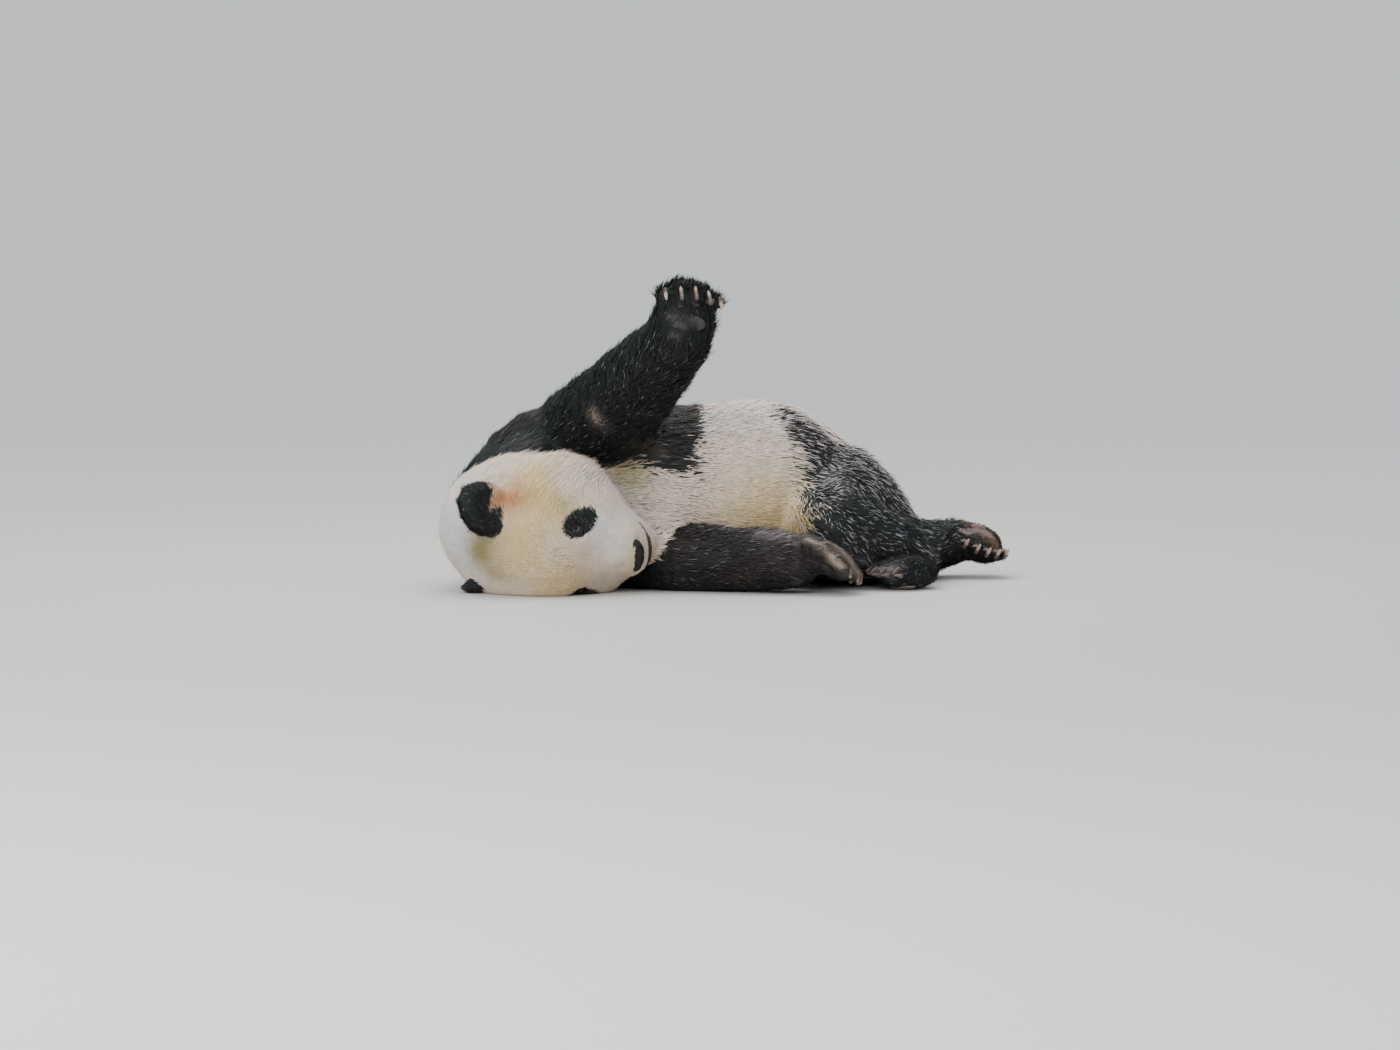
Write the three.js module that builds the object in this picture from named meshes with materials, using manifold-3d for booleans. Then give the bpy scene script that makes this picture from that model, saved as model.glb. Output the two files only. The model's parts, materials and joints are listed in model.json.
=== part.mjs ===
// Giant panda lying on its right side with one foreleg raised: a still, life-size model.
// Units are millimetres. +X runs from the head to the rump, +Y to the animal's back, +Z up.
// Left and right are the animal's own.
//
// Every flesh part is a capsule or a sphere whose skin points are pushed out along their own
// rays until they meet a soft body field, which is made of ellipsoids and tapered rods. What
// overlaps is then cut away, the underside is cut flat on the floor, and the trunk and the
// legs are parted at their joints by thin planes.
import * as THREE from 'three';
import { mergeVertices } from 'three/addons/utils/BufferGeometryUtils.js';
import Module from 'manifold-3d';

const wasm = await Module();
wasm.setup();

// ---- driving dimensions ----

const GAP = 0.35; // clearance between parts that touch
const STRIDE = 5; // first stride of the search for the surface
const FAR = 3000; // half side of the cutting blocks
const CRUMB = 0.1; // edges shorter than this, left by a cut, are closed up

// Places on the head are given as forward, to the left and up from its middle.
const HEAD = {
  centre: [-312, -180, 101],
  forward: [0.84, -0.51, -0.2],
  left: [0.02, -0.34, 0.94],
};
const EYES = { left: [115, 61, 34], right: [115, -57, 34] };
const EYE = { aim: [0.66, 0.58, 0.48], radius: 11, socket: 27 };
const NOSE = { place: [191, 0, -50], radii: [17, 32, 18] };
const EARS = {
  left: { place: [-38, 99, 124], aim: [0.78, 0.56, 0.12], over: [-0.25, 0.62, 0.75], radii: [30, 65, 57] },
  right: { place: [-64, -84, 96], aim: [0.35, -0.75, 0.55], over: [-0.6, -0.3, 0.7], radii: [15, 50, 46] },
};

// Legs run from shoulder or hip over elbow or knee to wrist or ankle.
const LEGS = {
  foreleg_left: {
    joints: [[-245, 32, 276], [-140, -118, 388], [-46, -262, 488]],
    radii: [112, 88, 65],
    nodes: ['upperarm_left', 'forearm_left', 'forepaw_left'],
  },
  foreleg_right: {
    joints: [[-240, 30, 95], [-45, -125, 64], [186, -205, 64]],
    radii: [92, 70, 57],
    nodes: ['upperarm_right', 'forearm_right', 'forepaw_right'],
  },
  hindleg_left: {
    joints: [[268, 62, 152], [256, -66, 112], [402, -14, 70]],
    radii: [130, 96, 60],
    nodes: ['thigh_left', 'shank_left', 'hindpaw_left'],
  },
  hindleg_right: {
    joints: [[290, 105, 92], [385, 52, 60], [512, 212, 68]],
    radii: [96, 66, 50],
    nodes: ['thigh_right', 'shank_right', 'hindpaw_right'],
  },
};

// A paw starts at its wrist or ankle, reaches along one direction and faces another.
const FOREPAW = { length: 113, width: 128, depth: 76, toe: [31, 16.5], claw: 30, splay: 1.05 };
const HINDPAW = { length: 112, width: 108, depth: 68, toe: [30, 13.5], claw: 30, splay: 1.05 };
const PAWS = {
  forepaw_left: {
    ...FOREPAW,
    wrist: [-40, -270, 490],
    along: [0.19, -0.05, 1],
    sole: [0.35, -1, 0],
    curl: 1.7,
    splay: 1.15,
  },
  forepaw_right: {
    ...FOREPAW,
    wrist: [188, -214, 84],
    along: [0.9, -0.1, -0.32],
    sole: [-0.35, -0.15, -0.92],
    curl: 0.62,
  },
  hindpaw_left: {
    ...HINDPAW,
    wrist: [452, -72, 33],
    along: [-0.82, -0.55, 0],
    sole: [0, 0, -1],
    curl: 0.05,
    folded: true,
  },
  hindpaw_right: {
    ...HINDPAW,
    wrist: [568, 250, 86],
    along: [0.12, -0.9, -0.3],
    sole: [0.3, -0.35, 0.87],
    curl: 0.6,
  },
};

const TAIL = { root: [384, 188, 128], tip: [430, 240, 66], radii: [42, 27] };

// ---- points, frames and fields ----

const vec = (a) => new THREE.Vector3(...a);
const mix = (a, b, t) => vec(a).lerp(vec(b), t).toArray();
const minus = (a, b) => vec(a).sub(vec(b)).toArray();

// A frame has an origin and three axes square to each other; the second is the nearest to
// the given direction that is square to the first.
function frame(origin, first, second) {
  const x = vec(first).normalize();
  const y = vec(second).addScaledVector(x, -vec(second).dot(x)).normalize();
  const z = new THREE.Vector3().crossVectors(x, y);
  const matrix = new THREE.Matrix4().makeBasis(x, y, z).setPosition(vec(origin));
  return {
    matrix,
    inverse: matrix.clone().invert(),
    place: (p) => vec(p).applyMatrix4(matrix).toArray(),
    turn: (p) => vec(p).transformDirection(matrix).toArray(),
  };
}

const WORLD = frame([0, 0, 0], [1, 0, 0], [0, 1, 0]);

function ellipsoid(at, centre, radii) {
  const e = at.inverse.elements;
  const [cx, cy, cz] = centre;
  const [rx, ry, rz] = radii;
  return (x, y, z) => {
    const px = (e[0] * x + e[4] * y + e[8] * z + e[12] - cx) / rx;
    const py = (e[1] * x + e[5] * y + e[9] * z + e[13] - cy) / ry;
    const pz = (e[2] * x + e[6] * y + e[10] * z + e[14] - cz) / rz;
    const near = Math.hypot(px, py, pz);
    const slope = Math.hypot(px / rx, py / ry, pz / rz) || 1;
    return (near * (near - 1)) / slope;
  };
}

function rod(a, b, ra, rb) {
  const ab = minus(b, a);
  const length2 = ab[0] ** 2 + ab[1] ** 2 + ab[2] ** 2;
  return (x, y, z) => {
    const [px, py, pz] = [x - a[0], y - a[1], z - a[2]];
    const t = THREE.MathUtils.clamp((px * ab[0] + py * ab[1] + pz * ab[2]) / length2, 0, 1);
    return Math.hypot(px - ab[0] * t, py - ab[1] * t, pz - ab[2] * t) - ra + (ra - rb) * t;
  };
}

// Soft union: fields closer than the blend width melt together.
function blend(width, ...fields) {
  return (x, y, z) => {
    let d = fields[0](x, y, z);
    for (const field of fields.slice(1)) {
      const other = field(x, y, z);
      const h = Math.max(0, width - Math.abs(d - other)) / width;
      d = Math.min(d, other) - (h * h * width) / 4;
    }
    return d;
  };
}

// Soft dent: takes a hollow out of a field.
function dent(width, field, hollow) {
  const outside = blend(width, (x, y, z) => -field(x, y, z), hollow);
  return (x, y, z) => -outside(x, y, z);
}

// ---- skins and solids ----

function reach(field, origin, ray, most) {
  const at = (t) => field(origin.x + ray.x * t, origin.y + ray.y * t, origin.z + ray.z * t);
  let far = 0;
  while (far < most && at(far) < 0) far += STRIDE;
  let near = Math.max(0, far - STRIDE);
  for (let i = 0; i < 12; i += 1) {
    const middle = (near + far) / 2;
    if (at(middle) < 0) near = middle;
    else far = middle;
  }
  return Math.max(1, near);
}

// Keeps only the points of a shape, with those along its seams made one.
function closed(geometry) {
  geometry.deleteAttribute('normal');
  geometry.deleteAttribute('uv');
  return mergeVertices(geometry, 1e-3);
}

function toSolid(geometry) {
  return new wasm.Manifold(
    new wasm.Mesh({
      numProp: 3,
      vertProperties: new Float32Array(geometry.attributes.position.array),
      triVerts: new Uint32Array(geometry.index.array),
    }),
  );
}

// Moves each point of a shape to where the given rule puts it.
function reshape(geometry, rule) {
  const spot = geometry.attributes.position;
  const p = new THREE.Vector3();
  for (let i = 0; i < spot.count; i += 1) {
    p.fromBufferAttribute(spot, i);
    spot.setXYZ(i, ...rule(p).toArray());
  }
  return geometry;
}

// A flesh part as two solids: itself, and the same grown by the clearance.
function flesh(make) {
  return { solid: make(0), grown: make(GAP) };
}

// A capsule bent along a curve and pushed out to the field.
function sleeve(curve, field, { sides, rings, caps, most = 400 }) {
  const frames = curve.computeFrenetFrames(rings, false);
  return flesh((grow) => {
    const shape = closed(new THREE.CapsuleGeometry(1, 2, caps, sides, rings));
    return toSolid(reshape(shape, (p) => {
      const along = THREE.MathUtils.clamp(p.y, -1, 1);
      const k = Math.round(((along + 1) / 2) * rings);
      const ray = new THREE.Vector3()
        .addScaledVector(frames.normals[k], p.x)
        .addScaledVector(frames.binormals[k], -p.z)
        .addScaledVector(frames.tangents[k], p.y - along)
        .normalize();
      const origin = curve.getPointAt(k / rings);
      return origin.addScaledVector(ray, reach(field, origin, ray, most) + grow);
    }));
  });
}

// A sphere, with its poles on the frame's first axis, pushed out to the field.
function balloon(at, centre, field, { sides, rings, most = 300 }) {
  return flesh((grow) => {
    const shape = closed(new THREE.SphereGeometry(1, sides, rings)).rotateZ(-Math.PI / 2);
    return toSolid(reshape(shape, (p) => {
      const origin = vec(at.place(centre));
      const ray = p.clone().transformDirection(at.matrix);
      return origin.addScaledVector(ray, reach(field, origin, ray, most) + grow);
    }));
  });
}

// A plain ellipsoid in a frame, for eyes, the nose and their sockets.
function ball(at, centre, radii, sides = 10, rings = 7) {
  const shape = closed(new THREE.SphereGeometry(1, sides, rings)).rotateZ(-Math.PI / 2);
  return toSolid(shape.scale(...radii).translate(...centre).applyMatrix4(at.matrix));
}

// A very large block that starts at a point and fills all beyond it in one direction.
function block(point, direction, shift = 0) {
  const shape = closed(new THREE.BoxGeometry(2 * FAR, 2 * FAR, 2 * FAR));
  const up = new THREE.Vector3(0, 0, 1);
  const turn = new THREE.Quaternion().setFromUnitVectors(up, vec(direction).normalize());
  return toSolid(shape.translate(0, 0, FAR + shift).applyQuaternion(turn).translate(...point));
}

// Parts a solid by a thin plane: what lies beyond it, and what stays.
function part(solid, point, direction) {
  const beyond = solid.intersect(block(point, direction, GAP / 2));
  const stays = solid.subtract(block(point, direction, -GAP / 2));
  return [beyond, stays];
}

// Crumbs left by a cut are dropped: a part is its one largest piece.
function largest(solid) {
  return solid.decompose().reduce((a, b) => (b.volume() > a.volume() ? b : a));
}

const without = (solid, ...others) => others.reduce((rest, other) => rest.subtract(other), solid);

// ---- assembly ----

const COAT = { roughness: 0.9, metalness: 0 };
const WHITE = { color: 0xe6dfd0, ...COAT };
const BLACK = { color: 0x1c1a1b, ...COAT };
const BARE = { color: 0x17161a, roughness: 0.45, metalness: 0 };
const HORN = { color: 0xb8aa90, roughness: 0.4, metalness: 0 };
const EYEBALL = { color: 0x1a110c, roughness: 0.1, metalness: 0 };

const panda = new THREE.Group();
const underFloor = block([0, 0, 0], [0, 0, -1]);

function addPart(name, solid, finish) {
  const { vertProperties, triVerts } = largest(solid.subtract(underFloor)).simplify(CRUMB).getMesh();
  const geometry = new THREE.BufferGeometry();
  geometry.setAttribute('position', new THREE.BufferAttribute(vertProperties, 3));
  geometry.setIndex(new THREE.BufferAttribute(triVerts, 1));
  const mesh = new THREE.Mesh(geometry, new THREE.MeshStandardMaterial(finish));
  mesh.name = name;
  panda.add(mesh);
}

// ---- trunk and neck ----

const trunkField = blend(
  70,
  ellipsoid(WORLD, [-282, 62, 174], [184, 178, 184]),
  ellipsoid(WORLD, [-100, 105, 172], [220, 185, 184]),
  ellipsoid(WORLD, [90, 96, 170], [205, 184, 190]),
  rod([150, 108, 172], [322, 116, 108], 168, 112),
  ellipsoid(WORLD, [-262, 152, 234], [104, 84, 108]),
  ellipsoid(WORLD, [292, 158, 140], [92, 92, 104]),
);
const spine = new THREE.CatmullRomCurve3(
  [
    [-290, 62, 172],
    [-180, 95, 176],
    [20, 108, 172],
    [200, 110, 145],
    [325, 112, 108],
  ].map(vec),
);
const barrel = sleeve(spine, trunkField, { sides: 24, rings: 13, caps: 4 });

const nape = { ends: [[-330, 20, 178], [-384, -130, 130]], radii: [142, 128] };
const neckField = rod(...nape.ends, ...nape.radii);
const bridge = sleeve(new THREE.LineCurve3(...nape.ends.map(vec)), neckField, { sides: 18, rings: 5, caps: 4 });
const trunkGrown = barrel.grown.add(bridge.grown);

// ---- head ----

const head = frame(HEAD.centre, HEAD.forward, HEAD.left);
const headRod = (a, b, ra, rb) => rod(head.place(a), head.place(b), ra, rb);
const onBothSides = (make) => [1, -1].map(make);

const skullField = blend(
  40,
  ellipsoid(head, [-18, 0, 6], [146, 148, 134]),
  ellipsoid(head, [48, 0, 30], [98, 100, 88]),
  ...onBothSides((s) => ellipsoid(head, [22, s * 68, -52], [108, 95, 98])),
);
const muzzleField = blend(
  26,
  headRod([95, 0, -52], [152, 0, -74], 80, 50),
  headRod([84, 0, 8], [170, 0, -46], 46, 28),
  headRod([40, 0, -98], [148, 0, -112], 82, 43),
  ...onBothSides((s) => headRod([115, s * 34, -66], [151, s * 20, -72], 50, 40)),
);
const eyeAim = (side) => EYE.aim.map((a, i) => (i === 1 && side === 'right' ? -a : a));
const faceField = Object.entries(EYES)
  .map(([side, place]) => {
    const hollow = vec(place).addScaledVector(vec(eyeAim(side)), EYE.socket).toArray();
    return ellipsoid(head, hollow, [20, 20, 20]);
  })
  .reduce((field, hollow) => dent(14, field, hollow), blend(44, skullField, muzzleField));

const wholeHead = balloon(head, [-4, 0, -20], blend(36, faceField, neckField), { sides: 26, rings: 19 });

// The nape parts the head from the neck, and the withers part the neck from the chest.
const NAPE = { point: [-385, -98, 130], aim: [0.15, -1, -0.2] };
const WITHERS = { point: [-372, -12, 160], aim: [-0.35, -0.94, 0] };
const LOIN = { point: [20, 0, 0], aim: [1, 0.1, 0] };
const HAUNCH = { point: [225, 0, 0], aim: [1, 0.1, 0.15] };

let [headSolid] = part(wholeHead.solid, NAPE.point, NAPE.aim);
const [headGrown] = part(wholeHead.grown, NAPE.point, NAPE.aim);

for (const [side, place] of Object.entries(EYES)) {
  const eye = frame(head.place(place), head.turn(eyeAim(side)), head.turn([0, 0, 1]));
  const r = EYE.radius;
  headSolid = headSolid.subtract(ball(eye, [r * 0.6, 0, 0], [r * 1.9, r + 2, r + 2]));
  addPart(`eye_${side}`, ball(eye, [0, 0, 0], [r, r, r]), EYEBALL);
}

headSolid = headSolid.subtract(ball(head, NOSE.place, NOSE.radii.map((r) => r + 0.8), 12, 8));
addPart('nose', ball(head, NOSE.place, NOSE.radii, 12, 8), BARE);
addPart('head', headSolid, WHITE);

// An ear is a thick round disc, hollow in front.
for (const [side, { place, aim, over, radii }] of Object.entries(EARS)) {
  const ear = frame(head.place(place), head.turn(aim), head.turn(over));
  const bowl = ellipsoid(ear, [radii[0] * 1.5, -8, 0], [radii[0], radii[1] * 0.62, radii[2] * 0.62]);
  const { solid } = balloon(ear, [-radii[0] * 0.3, 0, 0], dent(10, ellipsoid(ear, [0, 0, 0], radii), bowl), {
    sides: 12,
    rings: 8,
  });
  addPart(`ear_${side}`, without(solid, headGrown, trunkGrown), BLACK);
}

const [, bridgeEnd] = part(bridge.solid, NAPE.point, NAPE.aim);
const behindHead = barrel.solid.add(bridgeEnd).subtract(headGrown);
const [neck, behindNeck] = part(behindHead, WITHERS.point, WITHERS.aim);
const [behindChest, chest] = part(behindNeck, LOIN.point, LOIN.aim);
const [rump, belly] = part(behindChest, HAUNCH.point, HAUNCH.aim);
addPart('neck', neck, BLACK);
addPart('chest', chest, BLACK);
addPart('belly', belly, WHITE);
addPart('rump', rump, WHITE);

const tailField = rod(TAIL.root, TAIL.tip, ...TAIL.radii);
const tailCurve = new THREE.CatmullRomCurve3([TAIL.root, mix(TAIL.root, TAIL.tip, 0.5), TAIL.tip].map(vec));
const tail = sleeve(tailCurve, tailField, { sides: 10, rings: 4, caps: 2 });
addPart('tail', tail.solid.subtract(trunkGrown), WHITE);

// ---- paws ----

// A claw is a cone bent towards the sole, set in the back of the toe tip.
function makeClaw(at, tip, angle, length, radius) {
  const lift = -0.3 * radius;
  const step = (turn, d) => [
    tip[0] + d * Math.cos(angle + turn) - lift * Math.sin(angle),
    tip[1],
    tip[2] + d * Math.sin(angle + turn) + lift * Math.cos(angle),
  ];
  const curve = new THREE.QuadraticBezierCurve3(
    ...[step(0, 0), step(0.05, length * 0.6), step(0.42, length)].map((p) => vec(at.place(p))),
  );
  const segments = 2;
  const frames = curve.computeFrenetFrames(segments, false);
  const cone = closed(new THREE.ConeGeometry(0.36 * radius, 1, 5, segments));
  return toSolid(reshape(cone, (p) => {
    const k = Math.round((p.y + 0.5) * segments);
    return curve
      .getPointAt(k / segments)
      .addScaledVector(frames.normals[k], p.x)
      .addScaledVector(frames.binormals[k], -p.z);
  }));
}

// The palm is blended with the end of its leg, and each of the five toes bends in the middle.
function makePaw({ wrist, along, sole, length, width, depth, toe, claw, splay, curl }, stubField) {
  const across = vec(sole).cross(vec(along)).toArray();
  const at = frame(wrist, along, across);
  const palmField = ellipsoid(at, [length * 0.45, 0, 0], [length * 0.62, width / 2, depth / 2]);
  const palm = balloon(at, [length * 0.4, 0, 0], blend(24, palmField, stubField), {
    sides: 14,
    rings: 8,
  });
  const [toeLength, toeRadius] = toe;
  const claws = [];
  for (let i = -2; i <= 2; i += 1) {
    const side = (i * (width - 1.8 * toeRadius)) / 4;
    const knuckle = [length * (0.84 - 0.045 * i * i), side, -0.06 * depth];
    const bent = (from, part, angle, spread) => [
      from[0] + toeLength * part * Math.cos(angle),
      side * spread,
      from[2] + toeLength * part * Math.sin(angle),
    ];
    const middle = bent(knuckle, 0.62, curl * 0.5, (1 + splay) / 2);
    const tip = bent(middle, 0.5, curl, splay);
    const bones = [knuckle, middle, tip].map(at.place);
    const toeField = blend(
      6,
      rod(bones[0], bones[1], toeRadius * 1.02, toeRadius),
      rod(bones[1], bones[2], toeRadius, toeRadius * 0.82),
    );
    const digit = sleeve(new THREE.CatmullRomCurve3(bones.map(vec)), toeField, {
      sides: 7,
      rings: 2,
      caps: 1,
    });
    palm.solid = palm.solid.add(digit.solid);
    palm.grown = palm.grown.add(digit.grown);
    claws.push(makeClaw(at, tip, curl, claw, toeRadius));
  }
  return { ...palm, claws };
}

// ---- legs ----

// A folded foot lies back against its own leg, which gives way to it; any other is parted from
// its leg by a plane through the wrist or ankle.
const legs = {};
for (const [name, { joints, radii, nodes }] of Object.entries(LEGS)) {
  const [root, bend, tip] = joints;
  const bones = [
    { ends: [root, bend], radii: radii.slice(0, 2) },
    { ends: [bend, tip], radii: radii.slice(1) },
  ].map(({ ends, radii: thick }) =>
    sleeve(new THREE.LineCurve3(...ends.map(vec)), rod(...ends, ...thick), { sides: 14, rings: 4, caps: 3 }),
  );

  const spec = PAWS[nodes[2]];
  const stub = spec.folded ? rod(tip, mix(tip, bend, 0.1), 30, 30) : rod(mix(tip, bend, 0.5), tip, radii[2], radii[2]);
  const paw = makePaw(spec, stub);
  const lowerAim = vec(minus(tip, bend)).normalize();
  const wristAim = vec(spec.along).normalize().add(lowerAim).toArray();
  const elbowAim = vec(minus(bend, root)).normalize().add(lowerAim).toArray();
  const upper = part(bones[0].solid, bend, elbowAim)[1];
  const lower = part(bones[1].solid, bend, elbowAim)[0];
  legs[name] = {
    pieces: spec.folded
      ? [upper.subtract(paw.grown), lower.subtract(paw.grown), paw.solid]
      : [upper, part(lower, tip, wristAim)[1], part(paw.solid, tip, wristAim)[0]],
    room: [...bones, paw].map((flesh) => flesh.grown),
    claws: paw.claws,
    nodes,
  };
}

// Each leg gives way to the head, to the trunk and to the legs that lie before it.
const before = [headGrown, trunkGrown, tail.grown];
for (const { pieces, room, claws, nodes } of Object.values(legs)) {
  pieces.forEach((solid, i) => addPart(nodes[i], without(solid, ...before), BLACK));
  before.push(...room);
  claws.forEach((solid, i) => addPart(`claw_${nodes[2]}_${i + 1}`, without(solid, ...before), HORN));
}

// The origin is the middle of the underside.
const middle = new THREE.Box3().setFromObject(panda).getCenter(new THREE.Vector3());
panda.children.forEach((mesh) => mesh.geometry.translate(-middle.x, -middle.y, 0));

export default panda;
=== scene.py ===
import json
import math

import bmesh
import bpy
import numpy as np
from mathutils import Matrix, Vector
from mathutils.bvhtree import BVHTree

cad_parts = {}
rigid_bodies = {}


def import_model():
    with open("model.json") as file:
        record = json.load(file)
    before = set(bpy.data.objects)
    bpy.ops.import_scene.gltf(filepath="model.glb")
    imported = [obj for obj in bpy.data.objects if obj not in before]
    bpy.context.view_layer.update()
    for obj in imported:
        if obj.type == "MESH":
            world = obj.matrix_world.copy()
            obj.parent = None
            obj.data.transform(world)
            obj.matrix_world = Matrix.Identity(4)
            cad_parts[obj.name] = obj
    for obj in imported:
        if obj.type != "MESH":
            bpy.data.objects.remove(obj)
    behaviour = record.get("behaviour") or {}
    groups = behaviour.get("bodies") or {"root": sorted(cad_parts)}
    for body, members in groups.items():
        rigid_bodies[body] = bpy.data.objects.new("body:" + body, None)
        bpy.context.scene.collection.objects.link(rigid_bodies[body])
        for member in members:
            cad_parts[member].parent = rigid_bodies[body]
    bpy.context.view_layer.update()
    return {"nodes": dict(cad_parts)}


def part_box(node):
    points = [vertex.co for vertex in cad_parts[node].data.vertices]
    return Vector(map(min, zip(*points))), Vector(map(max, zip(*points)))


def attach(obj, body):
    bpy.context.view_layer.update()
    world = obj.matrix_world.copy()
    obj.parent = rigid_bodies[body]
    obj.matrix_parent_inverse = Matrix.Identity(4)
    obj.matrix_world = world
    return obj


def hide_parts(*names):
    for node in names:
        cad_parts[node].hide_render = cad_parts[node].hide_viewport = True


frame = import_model()


# ---- Camera, floor and light ----
# The panda lies on a plain pale studio floor that runs up out of sight, under a wide soft light from above
# and another from the front left. The camera stands nearly as high as the raised paw and looks a little down.

CAMERA_PLACE = (-0.0624, -6.8557, 0.56)
CAMERA_DIP = math.radians(3.66)
CAMERA_LENS = 88.46
SENSOR_WIDTH = 36.0
SKY_COLOUR = (0.93, 0.97, 1.0, 1.0)
SKY_POWER = 0.80
LIGHT_AIM = Vector((0.0, 0.0, 0.2))
LIGHTS = [
    ("light_above", (-0.4, 0.6, 3.3), (3.4, 2.8), 105, (1.0, 0.98, 0.95)),
    ("light_front", (-1.6, -4.2, 2.4), (3.4, 2.6), 120, (0.99, 0.99, 1.0)),
]
FLOOR_HALF = 30.0
FLOOR_PALE = (0.66, 0.65, 0.63)
FLOOR_FAR = (0.99, 0.99, 0.99)
FLOOR_FADE = (1.3, 6.0)

scene = bpy.context.scene


def put(name, data):
    """A new object in the scene."""
    made = bpy.data.objects.new(name, data)
    scene.collection.objects.link(made)
    return made


lens = bpy.data.cameras.new("camera")
lens.lens = CAMERA_LENS
lens.sensor_width = SENSOR_WIDTH
camera = put("camera", lens)
camera.location = CAMERA_PLACE
camera.rotation_euler = (math.pi / 2 - CAMERA_DIP, 0, 0)
scene.camera = camera

world = bpy.data.worlds.new("studio")
world.use_nodes = True
sky = world.node_tree.nodes["Background"]
sky.inputs["Color"].default_value = SKY_COLOUR
sky.inputs["Strength"].default_value = SKY_POWER
scene.world = world

for name, place, size, power, colour in LIGHTS:
    lamp = bpy.data.lights.new(name, "AREA")
    lamp.shape = "RECTANGLE"
    lamp.size, lamp.size_y = size
    lamp.energy = power
    lamp.color = colour
    light = put(name, lamp)
    light.location = place
    light.rotation_euler = (LIGHT_AIM - Vector(place)).to_track_quat("-Z", "Y").to_euler()


class Wire:
    """An output of a material's node. Arithmetic on it adds Math nodes."""

    def __init__(self, tree, output=None):
        self.tree = tree
        self.output = output

    def node(self, kind, settings=None, inputs=None, out=0):
        made = self.tree.nodes.new("ShaderNode" + kind)
        for key, value in (settings or {}).items():
            setattr(made, key, value)
        for key, value in (inputs or {}).items():
            if isinstance(value, Wire):
                self.tree.links.new(value.output, made.inputs[key])
            else:
                made.inputs[key].default_value = value
        return Wire(self.tree, made.outputs[out])

    def math(self, operation, *values):
        return self.node("Math", {"operation": operation}, dict(enumerate(values)))

    def __add__(self, other):
        return self.math("ADD", self, other)

    def __radd__(self, other):
        return self.math("ADD", other, self)

    def __sub__(self, other):
        return self.math("SUBTRACT", self, other)

    def __mul__(self, other):
        return self.math("MULTIPLY", self, other)

    def __rmul__(self, other):
        return self.math("MULTIPLY", other, self)

    def ramp(self, low, high):
        """0 below low, 1 above high, smooth between."""
        limits = {"Value": self, "From Min": low, "From Max": high}
        return self.node("MapRange", {"interpolation_type": "SMOOTHSTEP"}, limits)

    def mix(self, first, second):
        """The first colour where this wire is 0, the second where it is 1."""
        ends = [c if isinstance(c, Wire) else (*c, 1.0) for c in (first, second)]
        return self.node("Mix", {"data_type": "RGBA"}, {0: self, 6: ends[0], 7: ends[1]}, out=2)

    def dimmed(self, level):
        """This colour times a level."""
        grey = self.node("CombineColor", {}, {0: level, 1: level, 2: level})
        settings = {"data_type": "RGBA", "blend_type": "MULTIPLY"}
        return self.node("Mix", settings, {0: 1.0, 6: self, 7: grey}, out=2)

    def attribute(self, name, out="Fac"):
        return self.node("Attribute", {"attribute_name": name}, out=out)

    def split(self, name):
        """The three colour channels and the alpha of an attribute."""
        source = self.attribute(name, "Color")
        parts = self.node("SeparateColor", {}, {0: source})
        channels = [Wire(self.tree, parts.output.node.outputs[k]) for k in range(3)]
        return channels + [Wire(self.tree, source.output.node.outputs["Alpha"])]

    def place(self):
        return self.node("TexCoord", out="Object")

    def noise(self, scale, detail=2.0):
        return self.node("TexNoise", {}, {"Vector": self.place(), "Scale": scale, "Detail": detail})

    def pebbles(self, scale):
        return self.node("TexVoronoi", {}, {"Vector": self.place(), "Scale": scale})

    def mottled(self, colour, scale, times, low=0.3, high=0.8, detail=2.0):
        """A colour with soft spots that are times as bright."""
        return self.noise(scale, detail).ramp(low, high).mix(colour, [c * times for c in colour])


def finish_of(name, colour_rule, roughness, bump=None, **constants):
    """A material. The rules for its colour, roughness and bump (height, distance, strength) take a Wire."""
    made = bpy.data.materials.new(name)
    made.use_nodes = True
    tree = made.node_tree
    shader = tree.nodes["Principled BSDF"]
    wire = Wire(tree)
    tree.links.new(colour_rule(wire).output, shader.inputs["Base Color"])
    if callable(roughness):
        tree.links.new(roughness(wire).output, shader.inputs["Roughness"])
    else:
        shader.inputs["Roughness"].default_value = roughness
    if bump:
        inputs = dict(zip(("Height", "Distance", "Strength"), bump(wire)))
        tree.links.new(wire.node("Bump", {}, inputs).output, shader.inputs["Normal"])
    for key, value in constants.items():
        shader.inputs[key.replace("_", " ")].default_value = value
    return made


def settle(name, mesh_builder, finish):
    """Turns a bmesh into a finished object at the origin."""
    mesh = bpy.data.meshes.new(name)
    mesh_builder.to_mesh(mesh)
    mesh_builder.free()
    mesh.shade_smooth()
    mesh.materials.append(finish)
    return put(name, mesh)


# Painted light: the floor's colour pales from FLOOR_PALE to FLOOR_FAR with distance from the middle. This
# makes up for the lamps falling off, so the far floor meets the sky without a line.
def floor_colour(wire):
    distance = wire.node("VectorMath", {"operation": "LENGTH"}, {0: wire.place()}, out="Value")
    return distance.ramp(*FLOOR_FADE).mix(FLOOR_PALE, FLOOR_FAR)


floor_builder = bmesh.new()
bmesh.ops.create_grid(floor_builder, x_segments=2, y_segments=2, size=FLOOR_HALF)
floor = settle("floor", floor_builder, finish_of("floor_pale", floor_colour, 0.9))


# ---- Skin ----
# One skin covers the whole body under the coat: grey-pink beneath the white hair and black beneath the black,
# a little darker than the hair as painted shade under it.
# The body's solids are joined into one closed form, rounded, and sunk below them by the depth of the coat.

SKIN_MESH = 0.0052
SEAL = 0.0006
SOCKET_SEAL = 4 * SEAL
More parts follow.
